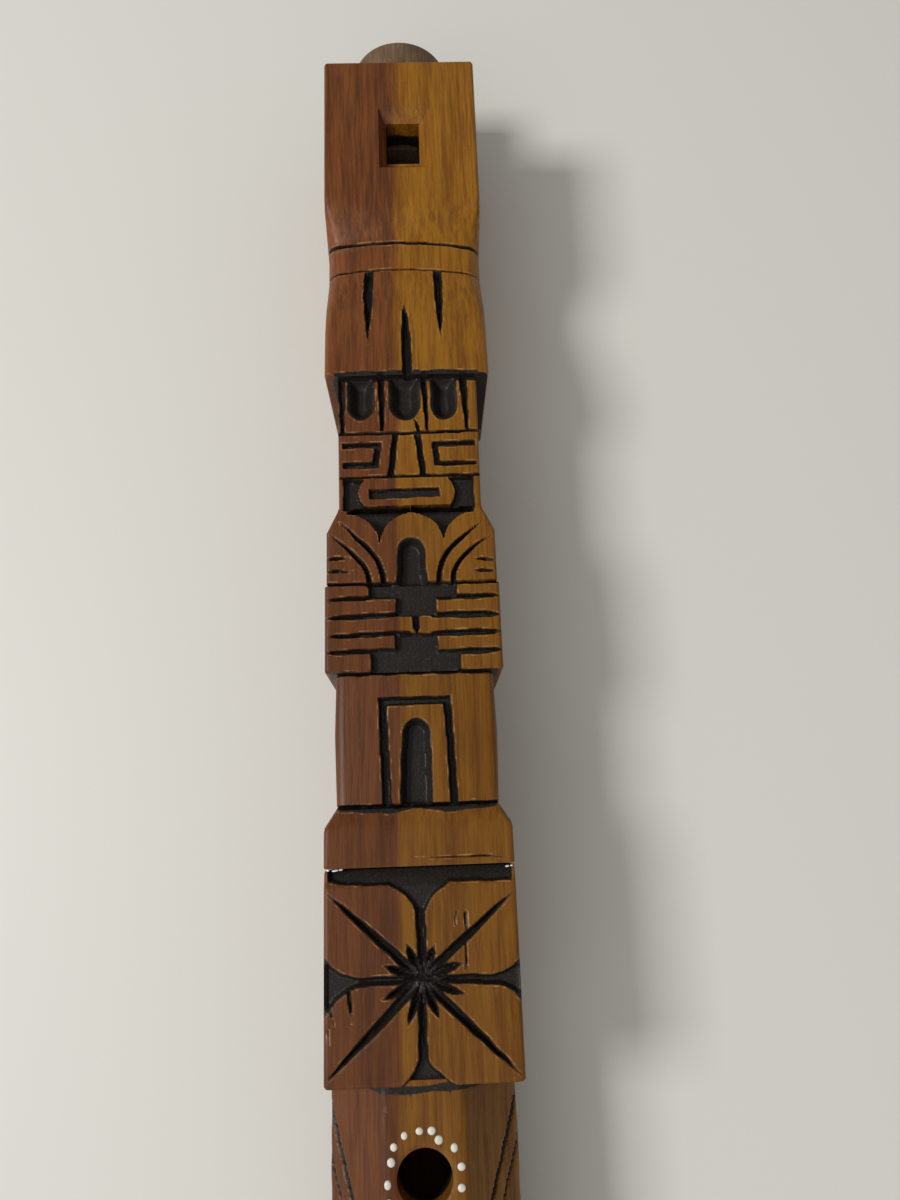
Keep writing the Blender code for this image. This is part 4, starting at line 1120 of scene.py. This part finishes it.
drops = paint_drops()
drop_inputs = {item.name: item.identifier for item in drops.interface.items_tree if item.in_out == "INPUT"}
hand = np.random.default_rng(7)
for index, down in enumerate(hole_downs):
    ring = FIRST_RING
    if index > 0:
        turns = np.arange(DOTS_IN_RING) * 360.0 / DOTS_IN_RING + hand.uniform(-5.0, 5.0, DOTS_IN_RING)
        ring = list(zip(turns, hand.uniform(1.33, 1.5, DOTS_IN_RING)))
    points = []
    for turn, reach in ring:
        x = HOLE_RADIUS * reach * math.cos(math.radians(turn))
        y = HEAD_TOP_Y - down + HOLE_RADIUS * reach * math.sin(math.radians(turn))
        lean = np.arctan2(x, TUBE_FLATS / 2.0)
        z = STOCK_HEIGHT / 2.0 + tube_radius(lean) * math.cos(lean) - DOT_SINK
        points.append(((x + TUBE_SHIFT) * MM, y * MM, z * MM))
    name = "hole_%d_dots" % (index + 1)
    mesh = bpy.data.meshes.new(name)
    mesh.from_pydata(points, [], [])
    dots = bpy.data.objects.new(name, mesh)
    bpy.context.scene.collection.objects.link(dots)
    modifier = dots.modifiers.new("drops", "NODES")
    modifier.node_group = drops
    modifier[drop_inputs["Drop Radius"]] = DOT_RADIUS * MM
    modifier[drop_inputs["Seed"]] = index
    graph = bpy.context.evaluated_depsgraph_get()
    dots.data = bpy.data.meshes.new_from_object(dots.evaluated_get(graph))
    dots.modifiers.clear()
    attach(dots, "root")


# Seam glue: whitish, glassy beads that were squeezed out at both ends of the seam's front edge when
# head and body were pressed together, and left to dry.
GLUE_DEPTH = 0.75
GLUE_TURN = 0.12
# across, down, length, thickness
GLUE_BEADS = (
    (-19.1, 208.25, 0.7, 0.5),
    (-17.6, 208.35, 1.5, 0.45),
    (-16.4, 208.2, 0.9, 0.4),
    (18.4, 208.7, 0.9, 0.4),
    (19.3, 208.6, 0.6, 0.35),
)
dried_glue = Finish("dried_glue").close(
    Base_Color=screen_colour(232, 236, 238), Roughness=0.12, Coat_Weight=0.5, Coat_Roughness=0.1)
glue_shape = bmesh.new()
for x, down, length, thickness in GLUE_BEADS:
    bead = bmesh.ops.create_uvsphere(glue_shape, u_segments=12, v_segments=8, radius=1.0)
    bead_size = Matrix.Diagonal((length / 2.0 * MM, thickness / 2.0 * MM, thickness / 2.0 * MM, 1.0))
    bead_place = Matrix.Translation((x * MM, (HEAD_TOP_Y - down) * MM, (STOCK_HEIGHT - GLUE_DEPTH) * MM))
    bmesh.ops.transform(
        glue_shape, matrix=bead_place @ Matrix.Rotation(GLUE_TURN, 4, "Z") @ bead_size,
        verts=bead["verts"])
seam_glue = set_piece("seam_glue", glue_shape, dried_glue)
seam_glue.data.shade_smooth()
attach(seam_glue, "root")


# Table and light: a pale matt table top, a small soft window high on the left, a wide weak lamp from
# the foot's side and an even room light.
TABLE_SIZE = 6.0
TABLE_DROP = 0.0002
table_shape = bmesh.new()
bmesh.ops.create_grid(table_shape, x_segments=1, y_segments=1, size=TABLE_SIZE / 2.0)
bmesh.ops.translate(table_shape, vec=(0.0, 0.0, -TABLE_DROP), verts=table_shape.verts)
table_mesh = bpy.data.meshes.new("table_top")
table_shape.to_mesh(table_mesh)
table_shape.free()
table_mesh.materials.append(
    Finish("pale_table").close(Base_Color=screen_colour(226, 225, 219), Roughness=0.55))
table_top = bpy.data.objects.new("table_top", table_mesh)
bpy.context.scene.collection.objects.link(table_top)


def soft_light(name, place, aim, size, power, colour):
    lamp = bpy.data.lights.new(name, "AREA")
    lamp.shape = "SQUARE"
    lamp.size = size
    lamp.energy = power
    lamp.color = colour
    holder = bpy.data.objects.new(name, lamp)
    bpy.context.scene.collection.objects.link(holder)
    holder.location = place
    holder.rotation_euler = (Vector(aim) - Vector(place)).to_track_quat("-Z", "Y").to_euler()


soft_light("window_light", place=(-1.1, 0.12, 1.14), aim=(0.0, 0.05, 0.0), size=0.42, power=15.4,
           colour=(1.0, 0.985, 0.955))
soft_light("fill_light", place=(-0.6, -1.2, 1.3), aim=(0.0, 0.0, 0.0), size=1.4, power=7.5,
           colour=(0.97, 0.98, 1.0))

world = bpy.data.worlds.new("room")
bpy.context.scene.world = world
world.use_nodes = True
room_light = world.node_tree.nodes["Background"]
room_light.inputs["Color"].default_value = (0.86, 0.84, 0.80, 1.0)
room_light.inputs["Strength"].default_value = 0.35
bpy.context.scene.view_settings.view_transform = "Standard"
